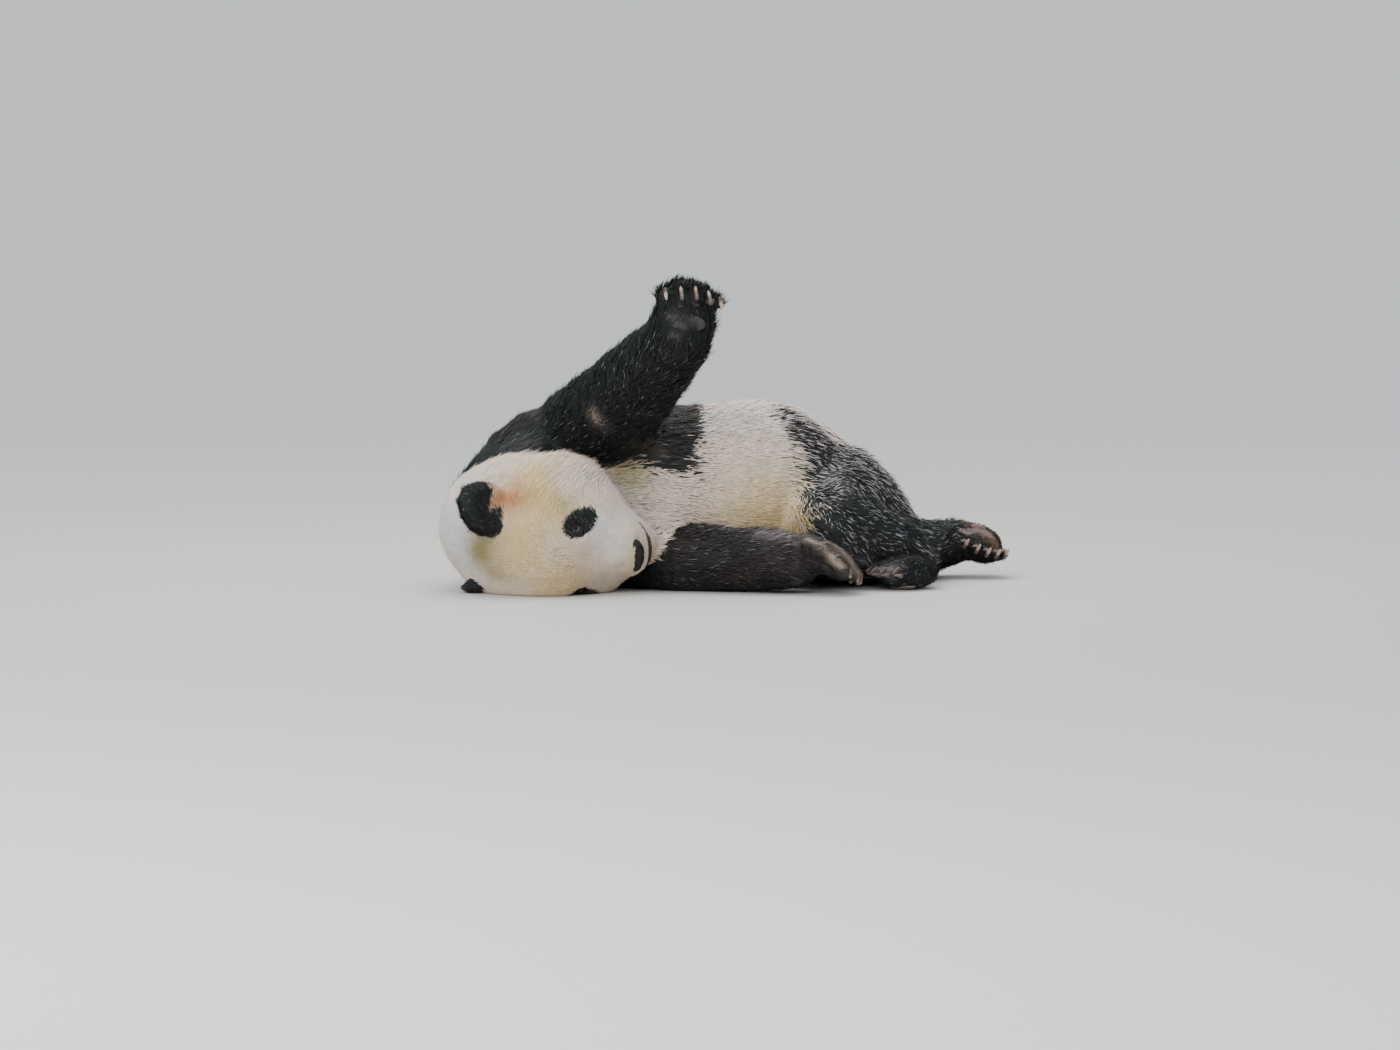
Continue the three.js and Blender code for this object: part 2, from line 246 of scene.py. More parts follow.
# For each kind of node: how deep the skin lies, the length and width of the hair, how shaggy it is, and how
# much silver there is in its black, partly pale hairs and partly painted glints of light on the hair.
DEPTH, LENGTH, WIDTH, SHAG, GLINTS = range(5)
COAT_BY_KIND = {
    "head": (0.0045, 0.013, 0.0023, 0.45, 0.2),
    "ear": (0.006, 0.015, 0.0018, 0.8, 0.05),
    "neck": (0.009, 0.024, 0.0028, 0.6, 0.04),
    "chest": (0.007, 0.023, 0.0031, 0.5, 0.06),
    "belly": (0.006, 0.022, 0.0033, 0.45, 0.8),
    "rump": (0.007, 0.024, 0.0031, 0.7, 0.9),
    "tail": (0.010, 0.034, 0.0034, 1.0, 0.3),
    "upperarm": (0.009, 0.024, 0.0029, 0.7, 0.08),
    "forearm": (0.008, 0.023, 0.0027, 0.7, 0.08),
    "forepaw": (0.0065, 0.015, 0.0019, 0.7, 0.05),
    "thigh": (0.007, 0.023, 0.0026, 1.0, 1.0),
    "shank": (0.008, 0.023, 0.0026, 1.0, 0.45),
    "hindpaw": (0.006, 0.014, 0.0019, 0.8, 0.2),
}
MUZZLE_REACH = (0.03, 0.13)
MUZZLE_SHARE = 0.2
BROW_MORE = 0.75
CHEEK_RUFF = 0.007
CHEEK_SIDE = (0.095, 0.14)
FLOOR_PRESS = 0.035
PRESSED_DEPTH = 0.08
HIP_AHEAD = (0.06, 0.12)
HIP_ABOVE = (0.06, 0.13)
HIP_ROUNDS = 90
HIP_FULL = 0.003
WRIST_ROUNDS = 24

hard_nodes = sorted(n for n in frame["nodes"] if n.startswith(("eye_", "claw_", "nose")))
flesh_nodes = sorted(n for n in frame["nodes"] if n not in hard_nodes)
node_kind = np.array([n.split("_")[0] for n in flesh_nodes])


def cad_copy(node, swell):
    """A merged copy of a CAD node, swollen outwards a little."""
    made = bmesh.new()
    made.from_mesh(frame["nodes"][node].data)
    bmesh.ops.remove_doubles(made, verts=made.verts, dist=1e-6)
    made.normal_update()
    for vertex in made.verts:
        vertex.co += vertex.normal * swell
    return made


def gathered(parts):
    """Several bmeshes in one."""
    whole = bmesh.new()
    mesh = bpy.data.meshes.new("part")
    for part in parts:
        part.to_mesh(mesh)
        part.free()
        whole.from_mesh(mesh)
    return whole


def remeshed(builder, size):
    """The outer shell of a bmesh in even four-sided faces."""
    mesh = bpy.data.meshes.new("flesh")
    builder.to_mesh(mesh)
    builder.free()
    holder = put("remesh", mesh)
    change = holder.modifiers.new("voxels", "REMESH")
    change.mode = "VOXEL"
    change.voxel_size = size
    bpy.context.view_layer.update()
    ready = holder.evaluated_get(bpy.context.evaluated_depsgraph_get())
    made = bpy.data.meshes.new_from_object(ready)
    bpy.data.objects.remove(holder)
    return made


def read(parts, key, width=3, kind=float):
    """Numbers of a mesh's points, edges or faces, one row for each."""
    flat = np.zeros(len(parts) * width, kind)
    parts.foreach_get(key, flat)
    return flat.reshape(-1, width)


def move_points(mesh, points):
    mesh.vertices.foreach_set("co", points.ravel())
    mesh.update()


def unit(vectors):
    length = np.linalg.norm(vectors, axis=-1, keepdims=True)
    return vectors / np.maximum(length, 1e-9)


def across_only(vector, axis):
    """The direction of a vector once its part along the axis is taken off."""
    return (vector - axis * vector.dot(axis)).normalized()


def spread(values, edges, rounds, amount=0.5):
    """Values at the points of a mesh, averaged with their neighbours over and over."""
    values = np.asarray(values, float)
    table = values.reshape(len(values), -1)
    a, b = edges.T
    count = np.bincount(a, minlength=len(table)) + np.bincount(b, minlength=len(table))
    for _ in range(rounds):
        total = np.stack([
            np.bincount(a, column[b], len(table)) + np.bincount(b, column[a], len(table))
            for column in table.T
        ], axis=1)
        table = table + amount * (total / count[:, None] - table)
    return table.reshape(values.shape)


def rounded(points, edges, rounds):
    """Points smoothed without shrinking: each round draws in, then pushes out a little more."""
    for _ in range(rounds):
        points = spread(points, edges, 1, 0.5)
        points = spread(points, edges, 1, -0.52)
    return points


def ramp(values, low, high):
    """0 below low, 1 above high, smooth between."""
    t = np.clip((values - low) / (high - low), 0, 1)
    return t * t * (3 - 2 * t)


def between(values, a, b, c, d):
    """0 up to a, 1 from b to c, 0 from d on, smooth between."""
    return ramp(values, a, b) * (1 - ramp(values, c, d))


def nearest_nodes(points):
    """The number of the flesh node that each point is nearest to."""
    corners, faces, owner = [], [], []
    for k, node in enumerate(flesh_nodes):
        part = cad_copy(node, 0)
        bmesh.ops.triangulate(part, faces=part.faces)
        part.verts.index_update()
        start = len(corners)
        corners += [v.co.copy() for v in part.verts]
        faces += [[start + v.index for v in f.verts] for f in part.faces]
        owner += [k] * len(part.faces)
        part.free()
    tree = BVHTree.FromPolygons(corners, faces)
    return np.array([owner[tree.find_nearest(p)[2]] for p in points])


swollen = [cad_copy(node, SEAL) for node in flesh_nodes]
swollen += [cad_copy(node, SOCKET_SEAL) for node in ("eye_left", "eye_right", "nose")]
skin_mesh = remeshed(gathered(swollen), SKIN_MESH)
skin_edges = read(skin_mesh.edges, "vertices", 2, int)
move_points(skin_mesh, rounded(read(skin_mesh.vertices, "co"), skin_edges, 9))
skin_node = nearest_nodes(read(skin_mesh.vertices, "co"))
skin_name = np.array(flesh_nodes)[skin_node]
skin_kind = node_kind[skin_node]


def kind_field(column, rounds):
    """A column of the coat's table, spread over the skin so that it changes softly."""
    return spread(np.array([COAT_BY_KIND[k][column] for k in node_kind])[skin_node], skin_edges, rounds)


# The head's own directions, from the places of the eyes and the nose.
EYES_IN_HEAD = Vector((0.115, 0.002, 0.034))
NOSE_FROM_EYES = (0.076, -0.084)


def middle(node):
    low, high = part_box(node)
    return (low + high) / 2


def head_directions():
    across = (middle("eye_left") - middle("eye_right")).normalized()
    eyes = (middle("eye_left") + middle("eye_right")) / 2
    down = middle("nose") - eyes
    down -= across * down.dot(across)
    ahead, above = NOSE_FROM_EYES
    forward = (down * ahead + across.cross(down) * above).normalized()
    up = forward.cross(across)
    return forward, across, up, eyes - Matrix((forward, across, up)).transposed() @ EYES_IN_HEAD


*head_rows, head_centre = head_directions()
head_axes = np.array(head_rows)
head_turn = Matrix(head_axes).transposed()


def in_head(points):
    """Points in the head's own directions: forward, left, up."""
    return (points - np.array(head_centre)) @ head_axes.T


def from_head(place):
    return head_centre + head_turn @ Vector(place)


nose_in_head = in_head(np.array(middle("nose")))


def skin_depth(points):
    """How far below the solids the skin lies: little on the muzzle, and almost nothing where the floor
    presses on the body."""
    depth = kind_field(DEPTH, 14)
    local = in_head(points)
    near_nose = np.linalg.norm(local - nose_in_head, axis=1)
    on_head = spread(skin_kind == "head", skin_edges, 4)
    depth *= 1 - on_head * (1 - ramp(near_nose, *MUZZLE_REACH) * BROW_MORE - MUZZLE_SHARE)
    depth += on_head * CHEEK_RUFF * ramp(np.abs(local[:, 1]), *CHEEK_SIDE)
    return depth * (PRESSED_DEPTH + (1 - PRESSED_DEPTH) * ramp(points[:, 2], 0.0, FLOOR_PRESS))


skin_points = read(skin_mesh.vertices, "co")
skin_points = skin_points - read(skin_mesh.vertex_normals, "vector") * skin_depth(skin_points)[:, None]
skin_points = rounded(skin_points, skin_edges, 4)
hip = spread(np.isin(skin_kind, ["thigh", "rump", "belly", "shank"]), skin_edges, 6)
hip *= ramp(skin_points[:, 0], *HIP_AHEAD) * ramp(skin_points[:, 2], *HIP_ABOVE)
flat_hip = spread(skin_points, skin_edges, HIP_ROUNDS) - skin_points
skin_points += flat_hip * hip[:, None] + HIP_FULL * read(skin_mesh.vertex_normals, "vector") * hip[:, None]
wrist = spread(skin_name == "forepaw_right", skin_edges, WRIST_ROUNDS)
wrist = 4 * wrist * (1 - wrist)
skin_points += (spread(skin_points, skin_edges, WRIST_ROUNDS) - skin_points) * wrist[:, None]


# The sockets: the skin falls back behind each eyeball, flat in the middle and rising to the rim.
EYE_AIM = (0.66, 0.58, 0.48)
EYE_CORNER = (0.17, 0.02, 0.0)
EYE_RADIUS = 0.011
SOCKET_REACH = 0.02
SOCKET_FLAT = 0.008
SOCKET_RIM = 0.017
SOCKET_DEPTH = 0.004
SOCKET_RISE = 0.011


def eye_directions(side):
    """Where an eye is, where it looks, and the directions along and across its opening."""
    sign = 1 if side == "left" else -1
    place = middle(f"eye_{side}")
    mirror = Vector((1, sign, 1))
    aim = (head_turn @ (Vector(EYE_AIM) * mirror)).normalized()
    along = across_only(from_head(Vector(EYE_CORNER) * mirror) - place, aim)
    return place, aim, along, aim.cross(along)


for side in ("left", "right"):
    place, aim, _, _ = eye_directions(side)
    offset = skin_points - np.array(place)
    height = offset @ np.array(aim)
    apart = np.linalg.norm(offset - height[:, None] * np.array(aim), axis=1)
    near = (apart < SOCKET_RIM) & (height > -SOCKET_REACH)
    sunk = np.minimum(height, -SOCKET_DEPTH + SOCKET_RISE * ramp(apart, SOCKET_FLAT, SOCKET_RIM))
    skin_points[near] += ((sunk - height)[:, None] * np.array(aim))[near]

# The skin falls back behind the nose pad too.
NOSE_HALF = (0.0172, 0.0345, 0.0175)
NOSE_FRONT = (0.951, 0.0, -0.309)
NOSE_BED = 0.45
NOSE_OPEN = 0.43
NOSE_CORNER = 0.04
NOSE_SOFT = 0.06
NOSE_REACH = 1.35
nose_place = middle("nose")


def nose_scaled(points):
    """Places from the middle of the nose pad, 1 at its surface."""
    return ((points - np.array(nose_place)) @ head_axes.T) / np.array(NOSE_HALF)


def bare_nose(points):
    """1 on the front of the nose, where the pad is bare, and 0 under the fur of its sides and top."""
    reach = nose_scaled(points)
    ahead = reach @ np.array(NOSE_FRONT) - NOSE_OPEN * np.sqrt(np.maximum(NOSE_CORNER, 1 - reach[:, 1] ** 2))
    return ramp(ahead, -NOSE_SOFT, NOSE_SOFT) * (np.linalg.norm(reach, axis=1) < NOSE_REACH)


nose_reach = np.linalg.norm(nose_scaled(skin_points), axis=1)
sunk = (1 - NOSE_BED / np.maximum(nose_reach, NOSE_BED)) * bare_nose(skin_points)
skin_points += (np.array(nose_place) - skin_points) * sunk[:, None]

# The right forepaw is hollow below the edge of its palm.
PALM_EDGE = (Vector((0.128, -0.204, 0.121)), Vector((0.2162, -0.2675, 0.0519)))
PALM_HOLLOW = 0.016
PALM_BELOW = (0.003, 0.020, 0.045, 0.085)
PALM_ALONG = (-0.25, 0.2, 0.85, 1.1)
PALM_SIDE = -0.15
SKIN_LOW = 0.0006


def palm_hollow(points):
    """1 in the hollow below the palm's edge, 0 elsewhere."""
    start, end = (np.array(p)[[0, 2]] for p in PALM_EDGE)
    line = unit(end - start)
    offset = points[:, [0, 2]] - start
    below = offset @ np.array([line[1], -line[0]])
    share = offset @ line / np.linalg.norm(end - start)
    inside = between(below, *PALM_BELOW) * between(share, *PALM_ALONG)
    return inside * np.isin(skin_kind, ["forepaw", "forearm"]) * (points[:, 1] < PALM_SIDE)


hollow = PALM_HOLLOW * spread(palm_hollow(skin_points), skin_edges, 2)
skin_points -= read(skin_mesh.vertex_normals, "vector") * hollow[:, None]
skin_points[:, 2] = np.maximum(skin_points[:, 2], SKIN_LOW)
move_points(skin_mesh, skin_points)
skin_normals = read(skin_mesh.vertex_normals, "vector")
skin_tree = BVHTree.FromPolygons(
    [Vector(p) for p in skin_points], [list(f.vertices) for f in skin_mesh.polygons]
)


# The markings. Each is a rule on places of the body, so that skin and coat carry the same ones.
# The shoulders' band ends at a wavy line across the back and chest, and the chest under it is white.
BLACK_KINDS = ["ear", "neck", "upperarm", "forearm", "forepaw", "thigh", "shank", "hindpaw"]
BLACK_DEPTH = 0.02
BAND_END = -0.078
BAND_LEAN = (0.25, 0.1)
BAND_WAVES = ((0.011, 24.0, 0.6), (0.005, 57.0, 2.0))
BAND_CORNER = 0.04
CHEST_WHITE = (-0.290, 0.232, 0.05)
ARM_WHITE = (0.064, -0.17, 0.27)
ARM_BLACK_FROM = -0.04
# The thigh's black: where its front edge is, at what height, and its lean; how far that edge runs ahead above
# and falls back below, and from which heights; its top edge; its back edge; and how it draws in underneath.
THIGH_FRONT = (0.140, 0.11, 0.08)
THIGH_AHEAD = (0.03, 0.26, 0.32)
THIGH_BEHIND = (0.022, 0.12, 0.19)
THIGH_TOP = (0.158, 0.350, 0.73)
THIGH_BACK = (0.075, 0.135, 0.24, 0.30)
THIGH_UNDER = (0.9, 0.15)
THIGH_SLOPE = 0.8
PATCH_CENTRE = (0.126, 0.082, 0.032)
PATCH_LONG = (0.233, 0.239, -0.943)
PATCH_SHORT = (0.606, -0.792, -0.085)
PATCH_HALF = (0.044, 0.0255, 0.045)
PATCH_TAPER = 0.10
EAR_NOTCH = (-0.459, 0.165)


def patch_depth(local, side):
    """How far inside an eye patch a point is."""
    mirror = np.array([1, 1 if side == "left" else -1, 1])
    offset = local * mirror - np.array(PATCH_CENTRE)
    long = unit(np.array(PATCH_LONG))
    short = np.array(PATCH_SHORT)
    short = unit(short - long * (short @ long))
    thick = np.cross(long, short)
    a, b, c = (offset @ axis / half for axis, half in zip((long, short, thick), PATCH_HALF))
    taper = 1 - PATCH_TAPER * a
    return (1 - np.sqrt(a * a + (b / taper) ** 2 + c * c)) * PATCH_HALF[1]


def thigh_depth(points):
    """How far inside the black of the upper thigh a point of the rump or belly is."""
    x, y, z = points.T
    place, height, lean = THIGH_FRONT
    ahead, *ahead_from = THIGH_AHEAD
    behind, *behind_from = THIGH_BEHIND
    front = place - (z - height) * lean - ahead * ramp(z, *ahead_from)
    front = front + behind * (1 - ramp(z, *behind_from))
    place, height, lean = THIGH_TOP
    top = height - (x - place) * lean
    high, low, *back_from = THIGH_BACK
    draw, under = THIGH_UNDER
    back = low + (high - low) * ramp(z, *back_from) + draw * np.maximum(0, under - z)
    return np.minimum(np.minimum(x - front, (top - z) * THIGH_SLOPE), (back - y) * THIGH_SLOPE)


def waves(place):
    """How far the edge of the shoulders' band strays, along a line of places."""
    return sum(high * np.sin(place * often + start) for high, often, start in BAND_WAVES)


def band_depth(points):
    """How far inside the black band over the shoulders and chest a point is, with its corner rounded."""
    x, y, z = points.T
    ahead, top, back = CHEST_WHITE
    chest = -np.minimum(np.minimum(x - ahead, top + waves(x) - z), back - y)
    lean, lean_from = BAND_LEAN
    band = BAND_END + waves(z) - x - lean * np.maximum(0, y - lean_from)
    corner = np.maximum(0, BAND_CORNER - np.abs(band - chest)) ** 2 / (4 * BAND_CORNER)
    return np.minimum(band, chest) - corner


def black_field(points):
    """Metres inside the black of the coat, below 0 in the white."""
    x, _, z = points.T
    local = in_head(points)
    thigh = thigh_depth(points)
    field = spread(np.where(np.isin(skin_kind, BLACK_KINDS), BLACK_DEPTH, -BLACK_DEPTH), skin_edges, 3)
    trunk = np.isin(skin_kind, ["chest", "belly", "rump", "neck"])
    field = np.where(trunk, np.maximum(band_depth(points), thigh), field)
    field = np.where(skin_name == "thigh_left", thigh, field)
    height, place, lean = ARM_WHITE
    arm = np.maximum(height + (x - place) * lean - z, x - ARM_BLACK_FROM)
    field = np.where(skin_name == "upperarm_right", arm, field)
    field = spread(field, skin_edges, 2)
    notch = np.minimum(x - EAR_NOTCH[0], z - EAR_NOTCH[1])
    field = np.where(skin_kind == "ear", np.minimum(BLACK_DEPTH, -notch), field)
    for side in ("left", "right"):
        field = np.where(skin_kind == "head", np.maximum(field, patch_depth(local, side)), field)
    return field


# Tinted places of the white hair, and places where the black hair is paler: which tint or cast they carry,
# the point or the two ends of the line they lie on, how wide, and how strong.
CREAM, STAIN_AND_SHADE, RUST, COOL = range(4)
TINTS = [
    (COOL, [from_head((-0.09, 0.03, 0.11))], 0.085, 0.9),
    (COOL, [from_head((0.147, 0.075, 0.01))], 0.035, 1.0),
    (COOL, [from_head((0.165, 0.03, -0.01))], 0.04, 0.5),
    (COOL, [from_head((0.07, 0.14, 0.0))], 0.05, 0.5),
    (RUST, [(-0.450, -0.252, 0.177)], 0.027, 1.0),
    (RUST, [(-0.430, -0.262, 0.182)], 0.034, 0.85),
    (STAIN_AND_SHADE, [(-0.480, -0.258, 0.085)], 0.040, 1.0),
    (STAIN_AND_SHADE, [(-0.468, -0.270, 0.050)], 0.035, 0.9),
    (STAIN_AND_SHADE, [from_head((0.085, 0.11, 0.05))], 0.025, 0.5),
    # Painted shade in the folds between nose and mouth.
    (STAIN_AND_SHADE, [from_head((0.190, 0.01, -0.055))], 0.044, 0.55),
    (STAIN_AND_SHADE, [(-0.22, -0.06, 0.24)], 0.065, 0.85),
    (STAIN_AND_SHADE, [(0.12, -0.11, 0.13)], 0.06, 0.40),
    (CREAM, [from_head((0.03, 0.05, 0.13))], 0.10, 1.0),
    (CREAM, [from_head((0.03, 0.10, 0.05))], 0.11, 1.0),
    (CREAM, [from_head((-0.03, 0.04, 0.11))], 0.07, 0.9),
    (CREAM, [from_head((0.10, -0.03, 0.08))], 0.09, 0.8),
    (CREAM, [(0.06, -0.13, 0.13)], 0.14, 1.0),
]
CREAM_BELOW = 0.16
CREAM_FULL = 0.12
CREAM_LOW = 0.35
TAN_AND_HIGHLIGHT, MAUVE_AND_SHEEN, RUSSET = range(3)
CASTS = [
    # Partly tan hair and partly a painted highlight on the lit ridge of the palm's edge.
    (TAN_AND_HIGHLIGHT, PALM_EDGE, 0.0065, 1.0),
    (TAN_AND_HIGHLIGHT, [(0.205, -0.215, 0.095), (0.245, -0.228, 0.035)], 0.026, 0.45),
    # A painted highlight along the fold of the armpit.
    (TAN_AND_HIGHLIGHT, [(-0.281, -0.132, 0.345), (-0.270, -0.125, 0.338)], 0.013, 0.55),
    (TAN_AND_HIGHLIGHT, [(-0.281, -0.132, 0.345), (-0.152, -0.028, 0.272)], 0.016, 0.22),
    # A painted sheen along the top of the right forearm.
    (MAUVE_AND_SHEEN, [(0.045, -0.180, 0.123), (0.122, -0.207, 0.117)], 0.017, 0.9),
    (MAUVE_AND_SHEEN, [(0.255, -0.105, 0.055), (0.310, -0.125, 0.040)], 0.022, 0.5),
    (RUSSET, [(0.495, 0.238, 0.118), (0.552, 0.188, 0.082)], 0.022, 1.0),
]
BROWN = {"chest": 0.5, "rump": 0.5, "thigh": 0.35, "forepaw_right": 0.7, "forearm_right": 0.7}


def spots(points, rows, kind):
    """How strongly each point carries a tint or cast: full in the middle of its places, and fading out."""
    total = np.zeros(len(points))
    for tint, places, width, amount in rows:
        if tint == kind:
            start = np.array(places[0])
            line = np.array(places[-1]) - start
            share = np.clip((points - start) @ line / max(line @ line, 1e-12), 0, 1)
            apart = np.linalg.norm(points - start - share[:, None] * line, axis=1)
            total = np.maximum(total, amount * np.exp(-(apart / width) ** 2))
    return total


skin_black = black_field(skin_points)
skin_tints = np.stack([spots(skin_points, TINTS, k) for k in range(4)], axis=1)
low_cream = CREAM_LOW * ramp(CREAM_BELOW - skin_points[:, 2], 0, CREAM_FULL)
skin_tints[:, CREAM] = np.maximum(skin_tints[:, CREAM], low_cream)
skin_casts = np.stack([spots(skin_points, CASTS, k) for k in range(3)] + [kind_field(GLINTS, 8)], axis=1)
skin_brown = sum(amount * ((skin_kind == place) | (skin_name == place)) for place, amount in BROWN.items())
skin_brown = spread(skin_brown, skin_edges, 10)


def paint(mesh, name, columns):
    """Writes four numbers for each point as one named attribute."""
    layer = mesh.attributes.new(name, "FLOAT_COLOR", "POINT")
    layer.data.foreach_set("color", np.stack(columns, axis=1).astype(np.float32).ravel())


def paint_coat(mesh, black, tints, casts, brown, along, tone):
    paint(mesh, "marking", (black, brown, along, tone))
    paint(mesh, "tint", tints.T)
    paint(mesh, "cast", casts.T)


WHITE_HAIR = (0.86, 0.75, 0.69)
COOL_HAIR = (0.82, 0.82, 0.86)
CREAM_HAIR = (0.77, 0.56, 0.22)
STAIN_AND_SHADE_HAIR = (0.31, 0.245, 0.07)
RUST_HAIR = (0.56, 0.19, 0.06)
BLACK_HAIR = (0.013, 0.016, 0.016)
BROWN_HAIR = (0.034, 0.022, 0.020)
TAN_AND_HIGHLIGHT_HAIR = (0.56, 0.44, 0.36)
MAUVE_AND_SHEEN_HAIR = (0.36, 0.30, 0.32)
RUSSET_HAIR = (0.36, 0.20, 0.12)
SILVER_AND_GLINT_HAIR = (0.60, 0.58, 0.62)
# The skin takes the coat's colours dimmed by this much: painted shade beneath the hair.
SKIN_SHADE = 0.88
SKIN_TONE = 0.4
SKIN_EDGE = 0.004


def coat_colours(wire, shade=1.0):
    """The colour of hair or skin: from the markings, the place along the hair and the hair's own tone, with
    painted shade towards the roots and dimmed by shade.
    """
    black, brown, along, tone = wire.split("marking")
    cream, stain_and_shade, rust, cool = wire.split("tint")
    tan_and_highlight, mauve_and_sheen, russet, glint = wire.split("cast")
    patches = wire.noise(9.0, 3.0)
    clumps = wire.noise(60.0).ramp(0.3, 0.7)
    strands = 0.05 * wire.math("SINE", wire.attribute("across") * 7.0 + tone * 40.0)
    white = cream.mix(WHITE_HAIR, CREAM_HAIR)
    white = cool.mix(white, COOL_HAIR)
    white = (stain_and_shade * patches.ramp(0.15, 0.5)).mix(white, STAIN_AND_SHADE_HAIR)
    white = rust.mix(white, RUST_HAIR)
    # Painted shade: the hair is darker towards its roots.
    root_shade = 0.84 + 0.16 * along.ramp(0.0, 0.5)
    white = white.dimmed(root_shade * (0.86 + 0.1 * tone + 0.1 * clumps + strands) * shade)
    dark = (brown * patches.ramp(0.3, 0.65)).mix(BLACK_HAIR, BROWN_HAIR)
    for cast, colour in ((tan_and_highlight, TAN_AND_HIGHLIGHT_HAIR), (mauve_and_sheen, MAUVE_AND_SHEEN_HAIR), (russet, RUSSET_HAIR)):
        dark = (cast * (0.6 + 0.5 * tone)).mix(dark, colour)
    # Silver strands in the black: partly pale hairs, partly painted glints of light on the hair.
    silver_and_glint = (tone - 1.0 + 0.26 * glint + strands).ramp(0.0, 0.08)
    dark = (along.ramp(0.2, 0.8) * silver_and_glint).mix(dark, SILVER_AND_GLINT_HAIR)
    return black.mix(white, dark)


skin_finish = finish_of(
    "skin_under_coat",
    lambda w: coat_colours(w, SKIN_SHADE),
    0.75,
    lambda w: (w.noise(260.0, 3.0), 0.002, 0.6),
)
skin = put("skin", skin_mesh)
skin_mesh.materials.clear()
skin_mesh.materials.append(skin_finish)
skin_mesh.shade_smooth()
black = ramp(skin_black, -SKIN_EDGE, SKIN_EDGE)
even = np.full(len(skin_points), SKIN_TONE)
paint_coat(skin_mesh, black, skin_tints, skin_casts, skin_brown, even, even)

# The skin's unwrap, which the coat's tufts use too.
bpy.context.view_layer.objects.active = skin
for other in scene.objects:
    other.select_set(other is skin)
bpy.ops.object.mode_set(mode="EDIT")
bpy.ops.mesh.select_all(action="SELECT")
bpy.ops.uv.smart_project(angle_limit=1.15, island_margin=0.001)
bpy.ops.object.mode_set(mode="OBJECT")
skin_mesh.uv_layers[0].name = "OFBake"

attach(skin, "root")
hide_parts(*flesh_nodes)


# ---- Eyes ----
# Small round eyeballs, dark brown with a wet shine, each deep in its patch between two bare black lids.
# The ball bulges a little at the cornea. The lids are one rounded rim that lies on the ball and on the skin.

BALL_FACES = (40, 28)
CORNEA = (0.55, 0.0011)
PUPIL_EDGE = (0.22, 0.26)
IRIS_EDGE = (0.92, 0.99)
PUPIL_BLACK = (0.002, 0.002, 0.002)
IRIS_BROWN = (0.018, 0.011, 0.008)
EYE_WHITE = (0.03, 0.02, 0.018)
LID_OPENING = (0.0098, 0.0058)
LID_CORNERS = (0.14, 0.35)
LID_STATIONS = 40
# A lid's rings, from its inner edge out and back underneath: the size of the outline, how far it is drawn in,
# how much of its height is the skin's and not the ball's, and how far it stands off.
LID_RINGS = [
    (1.0, 1, 0, 0.0002), (1.04, 1, 0, 0.0011), (1.16, 1, 0, 0.0018), (1.38, 1, 0, 0.0017),
    (1.75, 1, 0.5, 0.0008), (2.2, 1, 1, 0.0004), (2.35, 1, 1, -0.003), (1.5, 0.9, 0, -0.006),
    (1.02, 1, 0, -0.0015),
]
LID_BLACK = (0.012, 0.011, 0.012)


def eye_colour(wire):
    angle = wire.attribute("ring")
    iris = wire.mottled(IRIS_BROWN, 900.0, 0.4, detail=3.0)
    ball = angle.ramp(*IRIS_EDGE).mix(iris, EYE_WHITE)
    return angle.ramp(*PUPIL_EDGE).mix(PUPIL_BLACK, ball)


def number_points(mesh, name, values):
    """Writes one number for each point as a named attribute."""
    layer = mesh.attributes.new(name, "FLOAT", "POINT")
    layer.data.foreach_set("value", values)


def soften(piece):
    change = piece.modifiers.new("soft", "SUBSURF")
    change.levels = change.render_levels = 1


def around(count):
    """Angles evenly round a circle."""
    return [2 * math.pi * k / count for k in range(count)]


def make_eyeball(side, finish):
    place, aim, along, across = eye_directions(side)
    columns, rows = BALL_FACES
    ball = bmesh.new()
    bmesh.ops.create_uvsphere(ball, u_segments=columns, v_segments=rows, radius=EYE_RADIUS)
    angles = []
    width, rise = CORNEA
    for vertex in ball.verts:
        angle = vertex.co.angle(Vector((0, 0, 1)))
        angles.append(angle)
        if angle < width:
            vertex.co *= 1 + rise / EYE_RADIUS * math.cos(angle / width * math.pi / 2) ** 2
    turn = Matrix((along, across, aim)).transposed().to_4x4()
    bmesh.ops.transform(ball, matrix=Matrix.Translation(place) @ turn, verts=ball.verts)
    made = settle(f"eyeball_{side}", ball, finish)
    number_points(made.data, "ring", angles)
    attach(made, "root")
    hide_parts(f"eye_{side}")


def skin_over(place, out, reach):
    """How far outside a place the skin lies, met from up to reach metres outside."""
    hit = skin_tree.ray_cast(place + out * reach, -out, 2 * reach)[0]
    return (hit - place).dot(out) if hit else 0.0


def loft(rings, closed=False):
    """A surface through rings of the same number of points, capped at both ends or joined into a loop."""
    made = bmesh.new()
    loops = []
    for ring in rings:
        corners = [made.verts.new(p) for p in ring]
        loops.append([made.edges.new((a, b)) for a, b in zip(corners, corners[1:] + corners[:1])])
    for first, second in zip(loops, loops[1:]):
        bmesh.ops.bridge_loops(made, edges=first + second)
    if closed:
        bmesh.ops.bridge_loops(made, edges=loops[-1] + loops[0])
    else:
        bmesh.ops.edgeloop_fill(made, edges=loops[0])
        bmesh.ops.edgeloop_fill(made, edges=loops[-1])
    bmesh.ops.recalc_face_normals(made, faces=made.faces)
    return made


